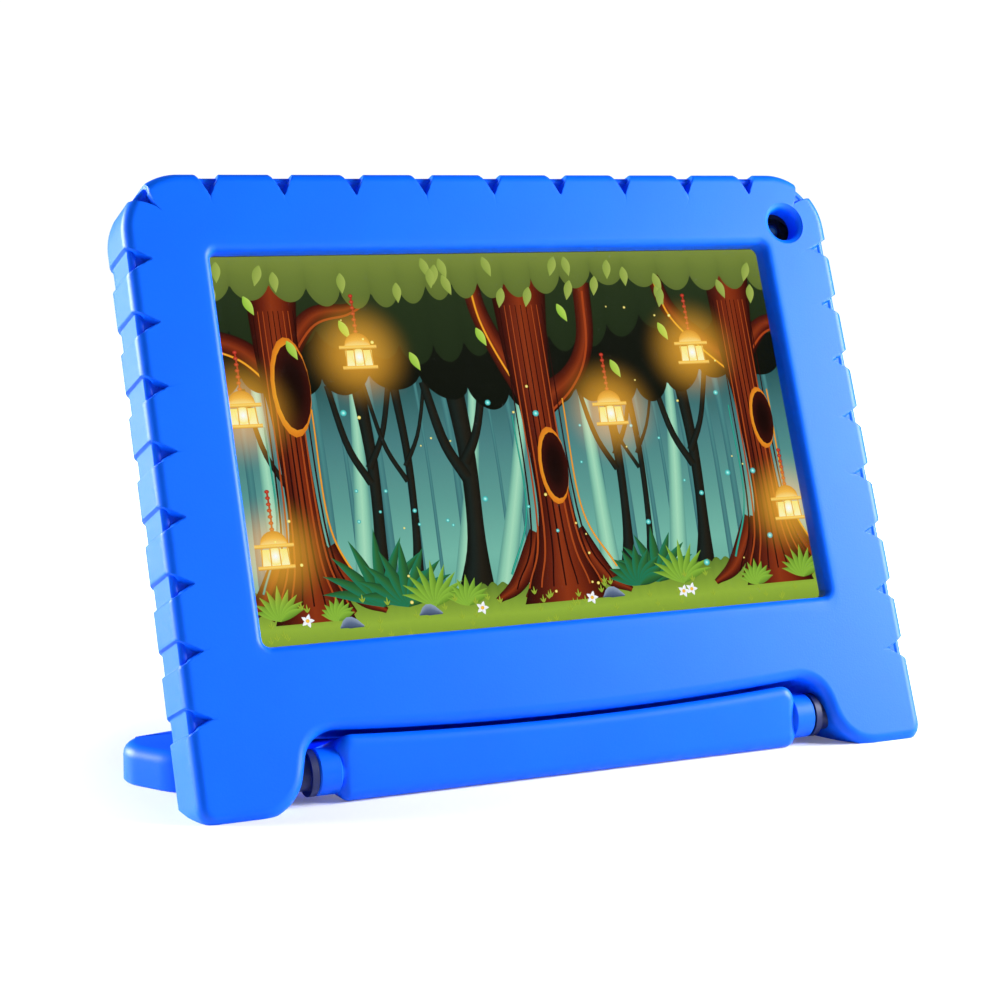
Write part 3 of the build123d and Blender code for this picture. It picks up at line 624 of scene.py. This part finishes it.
for step in np.arange(1, NOTCH_STEPS + 1) * NOTCH_STEP:
    edge_row(FRONT_ROUND + step * near_foot, 0.0, 0.0, FRONT_CUT)
calm_inset = np.where(inner_leg, 4.3, np.interp(edge[:, 1], [6, 20], [4.3, 7.4]))
calm = edge - edge_out * calm_inset[:, None]
lip = window + window_out * LIP_ROUND
for part in (0, 0.3, 0.6, 0.9):
    add_row(calm + (lip - calm) * part, 0.0)
for inset, depth in zip(*quarter(LIP_ROUND, 8)):
    add_row(window + window_out * inset, depth)
for dep in (3.5, POCKET_FRONT - 0.4):
    add_row(window, dep)
add_row(window + window_out * 0.2, POCKET_FRONT)
add_row(window + (pocket - window) * 0.5, POCKET_FRONT)
add_row(pocket, POCKET_FRONT)
add_row(pocket, POCKET_BACK)
add_row(middle + (pocket - middle) * 0.5, POCKET_BACK)
add_row(middle, POCKET_BACK)
bumper = make_piece("bumper_foam", np.array(rows), grid_faces(len(rows), len(walked), wrap_columns=True))
stand_flat(bumper)

# %% [markdown]
# The openings come last: the front camera's hole with its flared rim, the rear camera's hole, three
# slots for the speaker's sound, and two long slots over the buttons and the sockets.

# %% Openings of the bumper
CUT_FROM = 14.9                                # just inside the pocket's back
SPEAKER_X, SPEAKER_Z, SPEAKER_PITCH = -60.0, 38.5, 3.4
SIDE_FROM, SIDE_LENGTH = 88.0, 10.0            # the side slots' cutters, across the bumper's wall


def slot_cutter(name, half_long, half_wide, place):
    """Closed bar with round ends; place turns its outline and depth into points of the row."""
    corners = np.array(rectangle_corners(half_long, -half_wide, half_wide))
    outline, _ = rounded_outline(corners, [half_wide * 0.98] * 4, step=0.4)
    centre = np.zeros_like(outline)
    rings = np.array([place(ring, depth) for ring, depth in
                      ((centre, 0), (outline, 0), (outline, 0.5), (outline, 1), (centre, 1))])
    return make_piece(name, rings, grid_faces(5, len(outline), wrap_columns=True))


def through_back(drop):
    """Places a speaker slot's cutter through the back, some millimetres above the middle one."""
    return lambda ring, depth: face_to_row(
        ring[:, 0] + SPEAKER_X, CUT_FROM + 6 * depth, ring[:, 1] + SPEAKER_Z + drop)


def through_side(low, high, dep):
    """Places a long slot's cutter through the right wall, between two heights up the face."""
    return lambda ring, depth: face_to_row(
        SIDE_FROM + SIDE_LENGTH * depth + 0 * ring[:, 0], dep + ring[:, 1], (low + high) / 2 + ring[:, 0])


FLARE = [(0, -2), (7.4, -2), (5.6, 0.1), (5.0, 0.35), (4.6, 0.75),
         (4.35, 1.2), (4.25, 1.8), (4.25, 5.5), (0, 5.5)]
REAR_FLARE = [(0, CUT_FROM), (5, CUT_FROM), (5, 18.4), (5.3, 19.0), (7.1, 21), (0, 21)]
cutters = [turned("camera_hole", FLARE, 82.65, 138.2), turned("rear_camera_hole", REAR_FLARE, 62.0, 130.9)]
for drop in (-SPEAKER_PITCH, 0, SPEAKER_PITCH):
    cutters.append(slot_cutter("speaker_hole", 7.0, 0.8, through_back(drop)))
for low, high, dep in ((84.5, 127.5, 9.6), (32.3, 75.0, 11.3)):
    cutters.append(slot_cutter("side_hole", (high - low) / 2, 3.2, through_side(low, high, dep)))
combine(bumper, cutters, "DIFFERENCE")
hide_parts("foam_case")
finish_shape(bumper, "case", FOAM_BLUE)

# %% [markdown]
# ## The handle
# The handle is a second moulding of the same foam: a bar that fills the arch, a wide loop to carry it by,
# and a neck round the steel rod it turns on. Each is a rounded outline with rows, and the three are then
# made one.

# %% The loop of the handle
LOOP_FRONT, LOOP_BACK, LOOP_THICK = 27.5, 64.5, 9.2
SHOULDER, TIP_X, TIP_Y = 91.0, 104.5, 50.5
HOLE_HALF, HOLE_FRONT, HOLE_BACK = 46, 29.5, 49.5
LOOP_SAMPLES = 700
rear_x = np.linspace(TIP_X, 0, 12)[1:]
rear_y = LOOP_BACK - (LOOP_BACK - TIP_Y) * (rear_x / TIP_X) ** 2
rear = list(zip(rear_x, rear_y))
loop_corners = [(0, LOOP_FRONT), (SHOULDER, LOOP_FRONT), (TIP_X, TIP_Y)] + rear
loop_corners += [(-x, y) for x, y in rear[-2::-1]] + [(-TIP_X, TIP_Y), (-SHOULDER, LOOP_FRONT)]
loop_radii = [0.5, 13, 9] + [60] * 21 + [9, 13]
loop_edge = start_at(rounded_outline(loop_corners, loop_radii), (0, LOOP_FRONT))
hole_edge = rounded_outline(rectangle_corners(HOLE_HALF, HOLE_FRONT, HOLE_BACK), [9.9] * 4)
hole_edge = start_at(hole_edge, (0, HOLE_FRONT))
loop_walked = np.arange(LOOP_SAMPLES) / LOOP_SAMPLES
outer, outer_out = pick(loop_edge, loop_walked * along(loop_edge[0])[1])
inner, inner_out = pick(hole_edge, loop_walked * along(hole_edge[0])[1])


def on_floor(points, height):
    """Points of a plan in the row's axes, in metres."""
    up = np.broadcast_to(height, len(points))
    return np.stack([points[:, 0], points[:, 1] + FOOT_LINE, up], axis=1) * MM


loop_rows = [on_floor(outer - outer_out * 0.4, 0.0), on_floor(outer, 0.4), on_floor(outer, 3.0)]
for inset, depth in zip(*quarter(3.0, 9, flip=True)):
    loop_rows.append(on_floor(outer - outer_out * inset, LOOP_THICK - depth))
loop_rows.append(on_floor(outer * 0.5 + inner * 0.5, LOOP_THICK))
for inset, depth in zip(*quarter(2.0, 7)):
    loop_rows.append(on_floor(inner + inner_out * inset, LOOP_THICK - depth))
loop_rows += [on_floor(inner, 3.0), on_floor(inner, 0.4), on_floor(inner + inner_out * 0.4, 0.0)]
handle = make_piece("handle_foam", np.array(loop_rows),
                    grid_faces(len(loop_rows), len(outer), wrap_columns=True, wrap_rows=True))

# %% The bar and the neck
BAR_HALF, BAR_TALL, BAR_FRONT, BAR_BACK = 61.0, 14.0, 4.5, 28.5
BAR_SAMPLES, NECK_SAMPLES = 620, 64
bar_edge = start_at(rounded_outline(rectangle_corners(BAR_HALF, 0, BAR_TALL), [3.0, 3.0, 4.0, 4.0]), (0, 0))
bar_points, bar_out = pick(bar_edge, np.arange(BAR_SAMPLES) / BAR_SAMPLES * along(bar_edge[0])[1])


def bar_row(ring, back):
    """One ring of the bar. Its top follows the arch and falls towards the back with the face's lean:
    height = (arch height - gap) / cos(lean) - y * tan(lean), and lower points keep their share of it."""
    share = back / (BAR_BACK - BAR_FRONT)
    low = ARCH_TOP - ARCH_RISE - BAR_GAP + ARCH_RISE * (ring[:, 0] / ARCH_SIDE) ** 2
    start = BAR_FRONT * (1 - share) + BAR_BACK * share
    slope = (BAR_FRONT_TOP - BAR_FRONT) / DEPTH * (1 - share)
    part = ring[:, 1] / BAR_TALL
    z = part * (low / math.cos(LEAN) - start * math.tan(LEAN)) / (1 + part * slope * math.tan(LEAN))
    y = start + slope * z
    return np.stack([ring[:, 0], y + FOOT_LINE, z], axis=1) * MM


bar_middle = np.array([0, BAR_TALL / 2])
bar_flat = bar_points - bar_out * BAR_ROUND
bar_rows = [bar_row(bar_middle + (bar_flat - bar_middle) * part, 0.0) for part in (0, 0.5, 0.94)]
bar_rows += [bar_row(bar_points - bar_out * inset, depth) for inset, depth in zip(*quarter(BAR_ROUND, 10))]
bar_rows += [bar_row(bar_points, back) for back in (4.5, 8, 14, 20, 24.0)]
bar_rows += [bar_row(bar_middle + bar_points * 0, 24.0)]
bar = make_piece("handle_bar", np.array(bar_rows), grid_faces(len(bar_rows), BAR_SAMPLES, wrap_columns=True))

turn = np.arange(NECK_SAMPLES) * 2 * math.pi / NECK_SAMPLES
neck_half = [(65.7, 0), (65.7, 5.0), (65.3, 5.4), (60.6, 5.4), (60.0, 4.4)]
neck_profile = [(-x, r) for x, r in neck_half] + neck_half[::-1]
neck_rows = [on_floor(np.stack([np.full(NECK_SAMPLES, x), HINGE_BACK + r * np.cos(turn)], axis=1),
                      HINGE_HIGH + r * np.sin(turn)) for x, r in neck_profile]
neck = make_piece("handle_neck", np.array(neck_rows),
                  grid_faces(len(neck_rows), NECK_SAMPLES, wrap_columns=True))
combine(handle, [bar, neck], "UNION")
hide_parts("handle_stand")
finish_shape(handle, "handle", FOAM_BLUE)

# %% [markdown]
# ## The picture on the screen
# The display shows a wood at dusk with lanterns in the trees. It is built like paper cut-outs: every
# shape is a small grid of quads with a colour at each point, and each lies a hair in front of the one
# before it. Trunks, leaves, ropes and the canopy are all ribbons, so one function makes them all. The
# colours are kept in an attribute of the mesh, and the shader lets them glow.

# %% Ribbons of colour
PICTURE_WIDE, PICTURE_TALL = 155.2, 94.4
ASPECT = 1.6                                   # width over height: keeps shapes round
PICTURE_BACK, LAYER = 7.05, 0.0012             # depth of the rearmost shape and the step between shapes
picture_points, picture_faces, picture_paint = [], [], []
dice = np.random.default_rng(5)


def shape_of(columns, colours):
    """Adds a grid in front of all before it: columns are lines of points (0 to 1 across and up the
    picture), and colours gives each line its own."""
    grid = np.array([np.broadcast_to(column, np.shape(columns[0])) for column in columns], float)
    grid = np.clip(grid, (-0.005, -0.005), (1.005, 1.005))
    level = PICTURE_BACK - LAYER * (len(picture_points) + 1)
    first = sum(len(points) for points in picture_points)
    x = (grid[..., 0] - 0.5) * PICTURE_WIDE
    z = WINDOW_LOW - 0.1 + grid[..., 1] * PICTURE_TALL
    picture_points.append(face_to_row(x, level, z).reshape(-1, 3))
    picture_faces.append(grid_faces(len(grid), grid.shape[1]) + first)
    tint = np.array([linear(colour) for colour in colours])
    picture_paint.append(np.repeat(tint, grid.shape[1], axis=0))


def smooth_line(points, count=30):
    """Catmull-Rom curve through points of any number of values: a cubic between each two of them whose
    slope at a point is half the step from the one before to the one after."""
    p = np.array(points, float)
    p = np.vstack([2 * p[0] - p[1], p, 2 * p[-1] - p[-2]])
    s = np.linspace(0, len(p) - 3 - 1e-6, count)
    i = s.astype(int)
    t = (s - i)[:, None]
    a, b, c, d = p[i], p[i + 1], p[i + 2], p[i + 3]
    return 0.5 * (2 * b + (c - a) * t + (2 * a - 5 * b + 4 * c - d) * t ** 2
                  + (3 * b - a - 3 * c + d) * t ** 3)


def limb(points, colours, count=30):
    """Ribbon along (across, up, width) points: each column is the line pushed sideways by a share of
    the width, so the colours run from one side of the limb to the other."""
    line = smooth_line(points, count)
    ahead = np.gradient(line[:, :2], axis=0) * (ASPECT, 1)
    length = np.linalg.norm(ahead, axis=1)[:, None]
    side = np.stack([-ahead[:, 1], ahead[:, 0]], axis=1) / length / (ASPECT, 1)
    shares = np.linspace(-0.5, 0.5, len(colours))
    shape_of([line[:, :2] + side * line[:, 2:] * share for share in shares], colours)


def leaf(base, tip, width, colours, bend=0.0, count=12):
    """Leaf from base to tip: its half width is a half sine, and its midrib bows sideways by bend."""
    base, tip = np.array(base, float), np.array(tip, float)
    t = np.linspace(0, 1, count)[:, None]
    side = np.array([-(tip - base)[1] / ASPECT, (tip - base)[0] * ASPECT])
    line = base + (tip - base) * t + side * bend * t * (1 - t)
    across = side / max(np.hypot(side[0] * ASPECT, side[1]), 1e-6)
    half = width * np.sin(np.pi * np.clip(t, 0.02, 1) ** 0.8)
    shape_of([line + across * half * share for share in np.linspace(-1, 1, len(colours))], colours)


def blob(centre, radius, colours, tall=1.0, count=20):
    """Round or oval spot: rings about a centre, one colour a ring from the middle outwards."""
    angle = np.linspace(0, 2 * np.pi, count)
    ring = np.stack([np.cos(angle) / ASPECT, np.sin(angle) * tall], axis=1) * radius
    shape_of([np.array(centre) + ring * share for share in np.linspace(0, 1, len(colours))], colours)


def scallops(base, rise, size, phase, lobes):
    """Lower edge of a mass of leaves: round lobes hung on a slow wave."""
    x = np.linspace(0, 1, 420)
    wave = base + rise * np.sin(2.3 * np.pi * x + phase) + 0.4 * rise * np.sin(7 * np.pi * x + 2 * phase)
    lobe = np.abs(np.sin(np.pi * (lobes * x + 0.35 * np.sin(9 * x + phase)))) ** 0.55
    return np.stack([x, wave - size * lobe], axis=1)


# %% Dusk, light shafts and the far trees
across = np.linspace(0, 1, 30)
heights = [0.0, 0.2, 0.34, 0.5, 0.66, 0.8, 1.0]
dusk = ["#5FA08F", "#74B7A4", "#5E9C92", "#4A8080", "#2C5757", "#182A26", "#14170F"]
shape_of([np.stack([across, np.full(30, y)], axis=1) for y in heights], dusk)
for x in np.linspace(0.03, 0.97, 22) + dice.uniform(-0.015, 0.015, 22):
    wide = dice.uniform(0.008, 0.02)
    limb([(x, 0.12, wide * 1.2), (x + 0.004, 0.45, wide), (x, 0.72, wide)],
         ["#3F7476", "#4B8684", "#3A6C70"], 8)
for x, lean_by in ((0.07, 0.0), (0.2, 0.02), (0.36, 0.05), (0.43, 0.06),
                   (0.62, 0.0), (0.74, 0.03), (0.9, 0.02)):
    limb([(x, 0.1, 0.055), (x + lean_by, 0.45, 0.035), (x + 1.5 * lean_by, 0.72, 0.02)],
         ["#5C9A8D", "#8CC9AC", "#A4DAB9", "#8CC9AC", "#5C9A8D"], 8)
FAR_BARK = ["#15140E", "#231F16", "#1B2420", "#10100B"]
for x, wide in ((0.1, 0.022), (0.235, 0.03), (0.295, 0.02), (0.395, 0.045),
                (0.66, 0.024), (0.80, 0.03), (0.70, 0.016)):
    limb([(x - 0.012, 0.1, wide * 2.2), (x, 0.24, wide * 1.1), (x + 0.006, 0.45, wide),
          (x, 0.66, wide * 1.2)], FAR_BARK, 16)
    limb([(x, 0.4, wide * 0.7), (x - 0.03, 0.5, wide * 0.6), (x - 0.05, 0.66, wide * 0.5)], FAR_BARK, 10)
    limb([(x, 0.44, wide * 0.7), (x + 0.03, 0.53, wide * 0.5), (x + 0.055, 0.68, wide * 0.5)], FAR_BARK, 10)

# %% The dark canopy behind the big trees
top_line = np.stack([np.linspace(0, 1, 420), np.full(420, 1.01)], axis=1)
for base, rise, size, phase, lobes, colours in (
        (0.66, 0.035, 0.05, 0.4, 15, ("#1A1F14", "#14170F", "#10130C")),
        (0.80, 0.03, 0.055, 1.7, 17, ("#2D3B1C", "#26331B", "#202C17"))):
    lower = scallops(base, rise, size, phase, lobes)
    shape_of([lower, lower * 0.5 + top_line * 0.5, top_line], colours[::-1])

# %% The ground
ground_x = np.linspace(0, 1, 300)
blades = 0.012 * np.abs(np.sin(180 * ground_x)) * (0.5 + 0.5 * np.sin(47 * ground_x + 1))
ground_top = np.stack([ground_x, 0.125 + 0.012 * np.sin(6 * ground_x + 2) + blades], axis=1)
ground_low = np.stack([ground_x, np.full(300, -0.01)], axis=1)
shape_of([ground_low, ground_low * 0.6 + ground_top * 0.4, ground_top], ["#7C9A33", "#93B23C", "#5E7C2C"])

# %% The three big trees
BARK = ["#2A0D09", "#5A1C0E", "#8A3516", "#5E200F", "#3A120C"]
TRUNK = ["#2A0D09", "#5A1C0E", "#7C2C12", "#8A3516", "#6B2412", "#4A170D", "#2A0D09"]
RIM_WARM, RIM_TEAL = ["#C8701C", "#FFB52E", "#C8701C"], ["#1F6E62", "#35B59B", "#1F6E62"]
RIM_DULL = ["#A8431A"] * 2


def bark_lines(x, low, high, spread, count):
    """Long furrows up a trunk, alternately dark and lit, close at the waist and splayed at the roots."""
    for share in np.linspace(-0.5, 0.5, count):
        tone = ["#A8481C"] * 2 if int(share * 100) % 2 else ["#2A0D09"] * 2
        foot = share * spread * 2.0
        limb([(x + foot, low + 0.02, 0.004), (x + share * spread, low + 0.2, 0.005),
              (x + share * spread * 0.9, high, 0.002)], tone, 16)


def big_tree(x, waist, hollow, branches):
    """A trunk with splayed roots, furrowed bark, a hollow with a lit rim, and its branches."""
    for path in branches:
        under = RIM_WARM if path[-1][0] < 0 else RIM_DULL
        limb([(x + dx, y, w) for dx, y, w in path], BARK, 26)
        limb([(x + dx, y - 0.5 * w, 0.006) for dx, y, w in path], under, 26)
    for foot in (-0.105, -0.06, 0.055, 0.1):
        limb([(x + foot * 1.15, 0.075, 0.015), (x + foot * 0.75, 0.12, 0.045),
              (x + foot * 0.3, 0.24, 0.06)], BARK, 16)
    limb([(x, 0.06, waist * 2.4), (x, 0.15, waist * 1.7), (x + 0.004, 0.3, waist), (x, 0.55, waist * 0.95),
          (x - 0.004, 0.72, waist * 1.25), (x, 0.93, waist * 1.6)], TRUNK, 40)
    bark_lines(x, 0.08, 0.86, waist * 0.85, 9)
    limb([(x - waist * 0.9, 0.14, 0.006), (x - waist * 0.48, 0.3, 0.005),
          (x - waist * 0.46, 0.56, 0.004)], RIM_TEAL, 20)
    limb([(x + waist * 0.95, 0.14, 0.006), (x + waist * 0.5, 0.3, 0.005),
          (x + waist * 0.47, 0.6, 0.004)], RIM_WARM, 20)
    hollow_x, hollow_y, hollow_r = hollow
    blob((x + hollow_x, hollow_y), hollow_r * 1.12, ["#FFB52E", "#FFB52E", "#D9791E"], tall=2.6)
    blob((x + hollow_x + 0.003, hollow_y), hollow_r, ["#160806", "#1E0B08", "#3A120C"], tall=2.5)


big_tree(0.115, 0.085, (0.012, 0.66, 0.045), [
    [(0, 0.66, 0.07), (-0.06, 0.76, 0.06), (-0.13, 0.80, 0.05)],
    [(0, 0.72, 0.07), (0.06, 0.84, 0.05), (0.12, 0.86, 0.03), (0.15, 0.88, 0.02)]])
big_tree(0.535, 0.10, (0.012, 0.42, 0.036), [
    [(0, 0.60, 0.09), (-0.045, 0.72, 0.06), (-0.075, 0.84, 0.05), (-0.085, 0.95, 0.05)],
    [(0, 0.58, 0.09), (0.07, 0.66, 0.06), (0.105, 0.76, 0.05), (0.115, 0.92, 0.05)]])
big_tree(0.925, 0.085, (0.02, 0.52, 0.03), [
    [(0, 0.66, 0.08), (-0.07, 0.75, 0.055), (-0.12, 0.84, 0.045), (-0.14, 0.94, 0.04)],
    [(0, 0.70, 0.07), (0.05, 0.78, 0.05), (0.09, 0.8, 0.04)]])

# %% The near canopy and its loose leaves
lower = scallops(0.935, 0.018, 0.05, 2.6, 19)
shape_of([lower, lower * 0.5 + top_line * 0.5, top_line], ["#5F6F30", "#6C7D35", "#7C8C3C"])
for x, y in dice.uniform((0.02, 0.88), (0.98, 1.0), (26, 2)):
    turn = dice.uniform(-0.5, 0.5)
    leaf((x, y), (x + 0.028 * math.sin(turn), y - 0.055), 0.012, ["#8BA044", "#A3B455"])
for x, y in ((0.13, 0.78), (0.22, 0.83), (0.33, 0.74), (0.45, 0.8),
             (0.6, 0.86), (0.68, 0.7), (0.78, 0.8), (0.07, 0.9)):
    leaf((x, y), (x + 0.014, y - 0.05), 0.011, ["#8FBF3E", "#B7D65A"])

# %% Lanterns
LANTERNS = [(0.045, 0.60), (0.245, 0.74), (0.065, 0.24), (0.665, 0.56), (0.835, 0.72), (0.965, 0.27)]


def lantern(x, y):
    """Red rope, ring, domed cap, plate, glowing glass with bars, and base."""
    rope = ["#6E1410", "#D0392A", "#6E1410"]
    limb([(x, y + 0.16, 0.005), (x + 0.001, y + 0.1, 0.005), (x, y + 0.055, 0.005)], rope, 6)
    for step in np.linspace(0.06, 0.155, 7):
        blob((x, y + step), 0.0065, ["#E4503A", "#8E1C14"], tall=0.8, count=9)
    t = np.linspace(-1, 1, 22)
    dome = np.stack([x + 0.022 * t, y + 0.02 + 0.036 * np.sqrt(np.clip(1 - t ** 2, 0, 1))], axis=1)
    flat = np.stack([x + 0.022 * t, np.full(22, y + 0.02)], axis=1)
    shape_of([flat, flat * 0.5 + dome * 0.5, dome], ["#FFD98A", "#E8963E", "#A85A20"])
    shape_of([flat + (0, -0.052), flat + (0, -0.01)], ["#FFF3B8", "#FFE27A"])
    blob((x, y - 0.008), 0.02, ["#FFFFFF", "#FFF6C8", "#FFE27A"], tall=1.1)
    for bar_x in (-0.02, -0.007, 0.007, 0.02):
        limb([(x + bar_x, y + 0.018, 0.003), (x + bar_x * 1.1, y - 0.034, 0.003)], ["#A85A20", "#E8963E"], 4)
    for height, half in ((0.018, 0.031), (-0.036, 0.029)):
        limb([(x - half, y + height, 0.010), (x, y + height, 0.010), (x + half, y + height, 0.010)],
             ["#8E4516", "#FFC766", "#F0A040"], 8)


for x, y in LANTERNS:
    lantern(x, y)

# %% Plants, stones, flowers and lights
def tuft(x, y, tall, count, spread, colours, width=0.012):
    """Leaves fanned out from one root."""
    for angle in np.linspace(-spread, spread, count):
        length = tall * (1 - 0.35 * abs(angle) / spread)
        tip = (x + length * math.sin(angle) / 1.3, y + length * math.cos(angle))
        leaf((x, y), tip, width, colours, bend=0.25 * angle)


for x, y, tall in ((0.225, 0.085, 0.2), (0.265, 0.08, 0.17), (0.70, 0.09, 0.15), (0.665, 0.085, 0.11)):
    tuft(x, y, tall, 9, 1.25, ["#1E4A2C", "#2E6A34", "#1F7A5A"], 0.014)
for x, y, tall in ((0.06, 0.07, 0.09), (0.31, 0.075, 0.12), (0.365, 0.07, 0.08), (0.745, 0.08, 0.12),
                   (0.97, 0.07, 0.09), (0.15, 0.06, 0.06), (0.88, 0.06, 0.07)):
    tuft(x, y, tall, 9, 1.1, ["#5E8A28", "#8DBB3E"], 0.009)
for x, y in dice.uniform((0.0, 0.0), (1.0, 0.1), (60, 2)):
    tuft(x, y, 0.022, 3, 0.5, ["#A9BE3A", "#7FA032"], 0.002)
for x, y in ((0.30, 0.055), (0.615, 0.06), (0.17, 0.04)):
    limb([(x - 0.02, y, 0.002), (x - 0.004, y + 0.012, 0.03), (x + 0.018, y, 0.004)],
         ["#3E4B63", "#5E6E8A", "#93A3B8"], 8)
for x, y in ((0.10, 0.065), (0.385, 0.06), (0.575, 0.062), (0.74, 0.058), (0.755, 0.062)):
    for angle in np.linspace(0, 2 * math.pi, 6)[:-1]:
        tip = (x + 0.011 * math.cos(angle), y + 0.018 * math.sin(angle))
        leaf((x, y), tip, 0.005, ["#E6EAF2", "#FFFFFF"], count=6)
    blob((x, y), 0.005, ["#FFD54A", "#E8A82A"], count=8)
for x, y in dice.uniform((0.15, 0.12), (0.95, 0.62), (26, 2)):
    blob((x, y), dice.uniform(0.004, 0.009), ["#D8FFF8", "#5FD8CF", "#3E9A98"], count=10)
for x, y in dice.uniform((0.03, 0.03), (0.97, 0.85), (34, 2)):
    blob((x, y), dice.uniform(0.002, 0.005), ["#FFF6B0", "#E8D24A"], count=8)

# %% The display: the picture's mesh on the cell's back plate
PLATE_HALF, PLATE_LOW, PLATE_HIGH = 77.7, 36.2, 135.2
PLATE_FRONT, PLATE_BACK = 7.08, 7.7
plate_ring, _ = rounded_outline(rectangle_corners(PLATE_HALF, PLATE_LOW, PLATE_HIGH), [0.6] * 4, step=0.2)
plate_middle = np.array([0, CENTRE_Z]) + plate_ring * 0
plate_rows = [face_to_row(ring[:, 0], dep, ring[:, 1]) for ring, dep in
              ((plate_middle, PLATE_FRONT), (plate_ring, PLATE_FRONT),
               (plate_ring, PLATE_BACK), (plate_middle, PLATE_BACK))]
plate_first = sum(len(points) for points in picture_points)
picture_faces.append(grid_faces(4, len(plate_ring), wrap_columns=True) + plate_first)
picture_points.append(np.array(plate_rows).reshape(-1, 3))
picture_paint.append(np.zeros((4 * len(plate_ring), 3)))
display = make_piece("display_cell", np.concatenate(picture_points), np.concatenate(picture_faces),
                     weld=0, smooth=False)
paint_layer = display.data.attributes.new("paint", "FLOAT_COLOR", "POINT")
colours = np.concatenate(picture_paint)
paint_layer.data.foreach_set("color", np.hstack([colours, np.ones((len(colours), 1))]).ravel())
print("picture of", len(picture_points), "shapes")

# %% [markdown]
# A display cell is lit from behind, so its picture is light, not paint: the colours go to the
# emission. Round each lantern a warm haze is added that fades with distance from it.

# %% Lit liquid-crystal display
DISPLAY, tree, shader = new_material("lcd_lit_picture")
HAZE_REACH, HAZE_MOST = 0.016, 0.62            # metres from a lantern, and its share of the colour there
tone = add_node(tree, "ShaderNodeAttribute", attribute_name="paint").outputs["Color"]
for x, y in LANTERNS:
    away = distance_from(tree, face_to_row((x - 0.5) * PICTURE_WIDE, 7.0, WINDOW_LOW + y * PICTURE_TALL))
    haze = add_node(tree, "ShaderNodeMapRange", {"Value": away}, interpolation_type="SMOOTHERSTEP",
                    From_Max=HAZE_REACH, To_Min=HAZE_MOST, To_Max=0.0)
    mix = add_node(tree, "ShaderNodeMix", {"Factor": haze.outputs["Result"], MIX_FIRST: tone},
                   data_type="RGBA", blend_type="SCREEN")
    mix.inputs[MIX_SECOND].default_value = rgba("#FFB638")
    tone = mix.outputs[MIX_RESULT]
tree.links.new(tone, shader.inputs["Emission Color"])
settle(shader, Emission_Strength=1.0, Base_Color=rgba("#050505"), Roughness=0.5, Specular_IOR_Level=0.0)
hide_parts("lcd_cell")
display.data.materials.append(DISPLAY)
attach(display, "case")

# %% [markdown]
# ## The cover glass
# The tablet's front is one sheet of float glass with a coat against reflections, so the picture shows
# through it clearly and it still mirrors the brightest lights a little.

# %% Coated cover glass
GLASS, tree, shader = new_material("cover_glass_float_coated")
COATED_IOR = 1.12                              # glass is 1.5; the coat is given as a lower one
settle(shader, Base_Color=rgba("#FBFDFF"), Roughness=0.0, IOR=COATED_IOR, Transmission_Weight=1.0)
paint("touch_glass", GLASS)

# %% [markdown]
# ## Floor and light
# A plain pale floor and large soft lights, as in a small product studio.

# %% Floor
# The floor keeps its own shadows near the object and glows to plain white further off.
FLOOR_HALF = 3.0
corners = np.array([(x, y, 0) for x, y in rectangle_corners(FLOOR_HALF, -FLOOR_HALF, FLOOR_HALF)])
floor = make_piece("studio_floor", corners, np.array([[0, 1, 2, 3]]), weld=0)
pale, tree, shader = new_material("painted_floor_pale")
settle(shader, Base_Color=rgba("#F6F7F8"), Roughness=0.6, Specular_IOR_Level=0.2,
       Emission_Color=rgba("#FFFFFF"))
away = add_node(tree, "ShaderNodeVectorMath", {0: object_place(tree)}, operation="LENGTH")
glow = add_node(tree, "ShaderNodeMapRange", {"Value": away.outputs["Value"]}, From_Min=0.1, From_Max=0.2,
                To_Min=0.1, To_Max=1.0)
seen = add_node(tree, "ShaderNodeLightPath").outputs["Is Camera Ray"]
shown = add_node(tree, "ShaderNodeMath", {0: glow.outputs["Result"], 1: seen}, operation="MULTIPLY")
tree.links.new(shown.outputs["Value"], shader.inputs["Emission Strength"])
floor.data.materials.append(pale)

# %% Lights
def softbox(name, place, aim, wide, power, tall=None):
    """Oblong area light at a place in metres, turned to face a point."""
    data = bpy.data.lights.new(name, "AREA")
    data.shape = "RECTANGLE"
    data.size = wide
    data.size_y = tall or wide
    data.energy = power
    lamp = bpy.data.objects.new(name, data)
    direction = Vector(aim) - Vector(place)
    lamp.location = place
    lamp.rotation_euler = direction.to_track_quat("-Z", "Y").to_euler()
    bpy.context.scene.collection.objects.link(lamp)


softbox("softbox_right", (0.55, -0.25, 0.28), (0.05, 0, 0.07), 0.34, 11)
softbox("softbox_back_left", (-1.0, 0.75, 0.35), (0, 0, 0.07), 0.9, 48, 0.55)
softbox("softbox_front", (-0.1, -1.1, 0.75), (0, 0, 0.07), 0.7, 0.8)
world = bpy.data.worlds.new("studio_air")
world.use_nodes = True
air = world.node_tree
ray = add_node(air, "ShaderNodeLightPath")
level = add_node(air, "ShaderNodeMapRange", {"Value": ray.outputs["Is Camera Ray"]}, To_Min=0.07, To_Max=1.05)
air.links.new(level.outputs["Result"], air.nodes["Background"].inputs["Strength"])
air.nodes["Background"].inputs["Color"].default_value = rgba("#FFFFFF")
bpy.context.scene.world = world
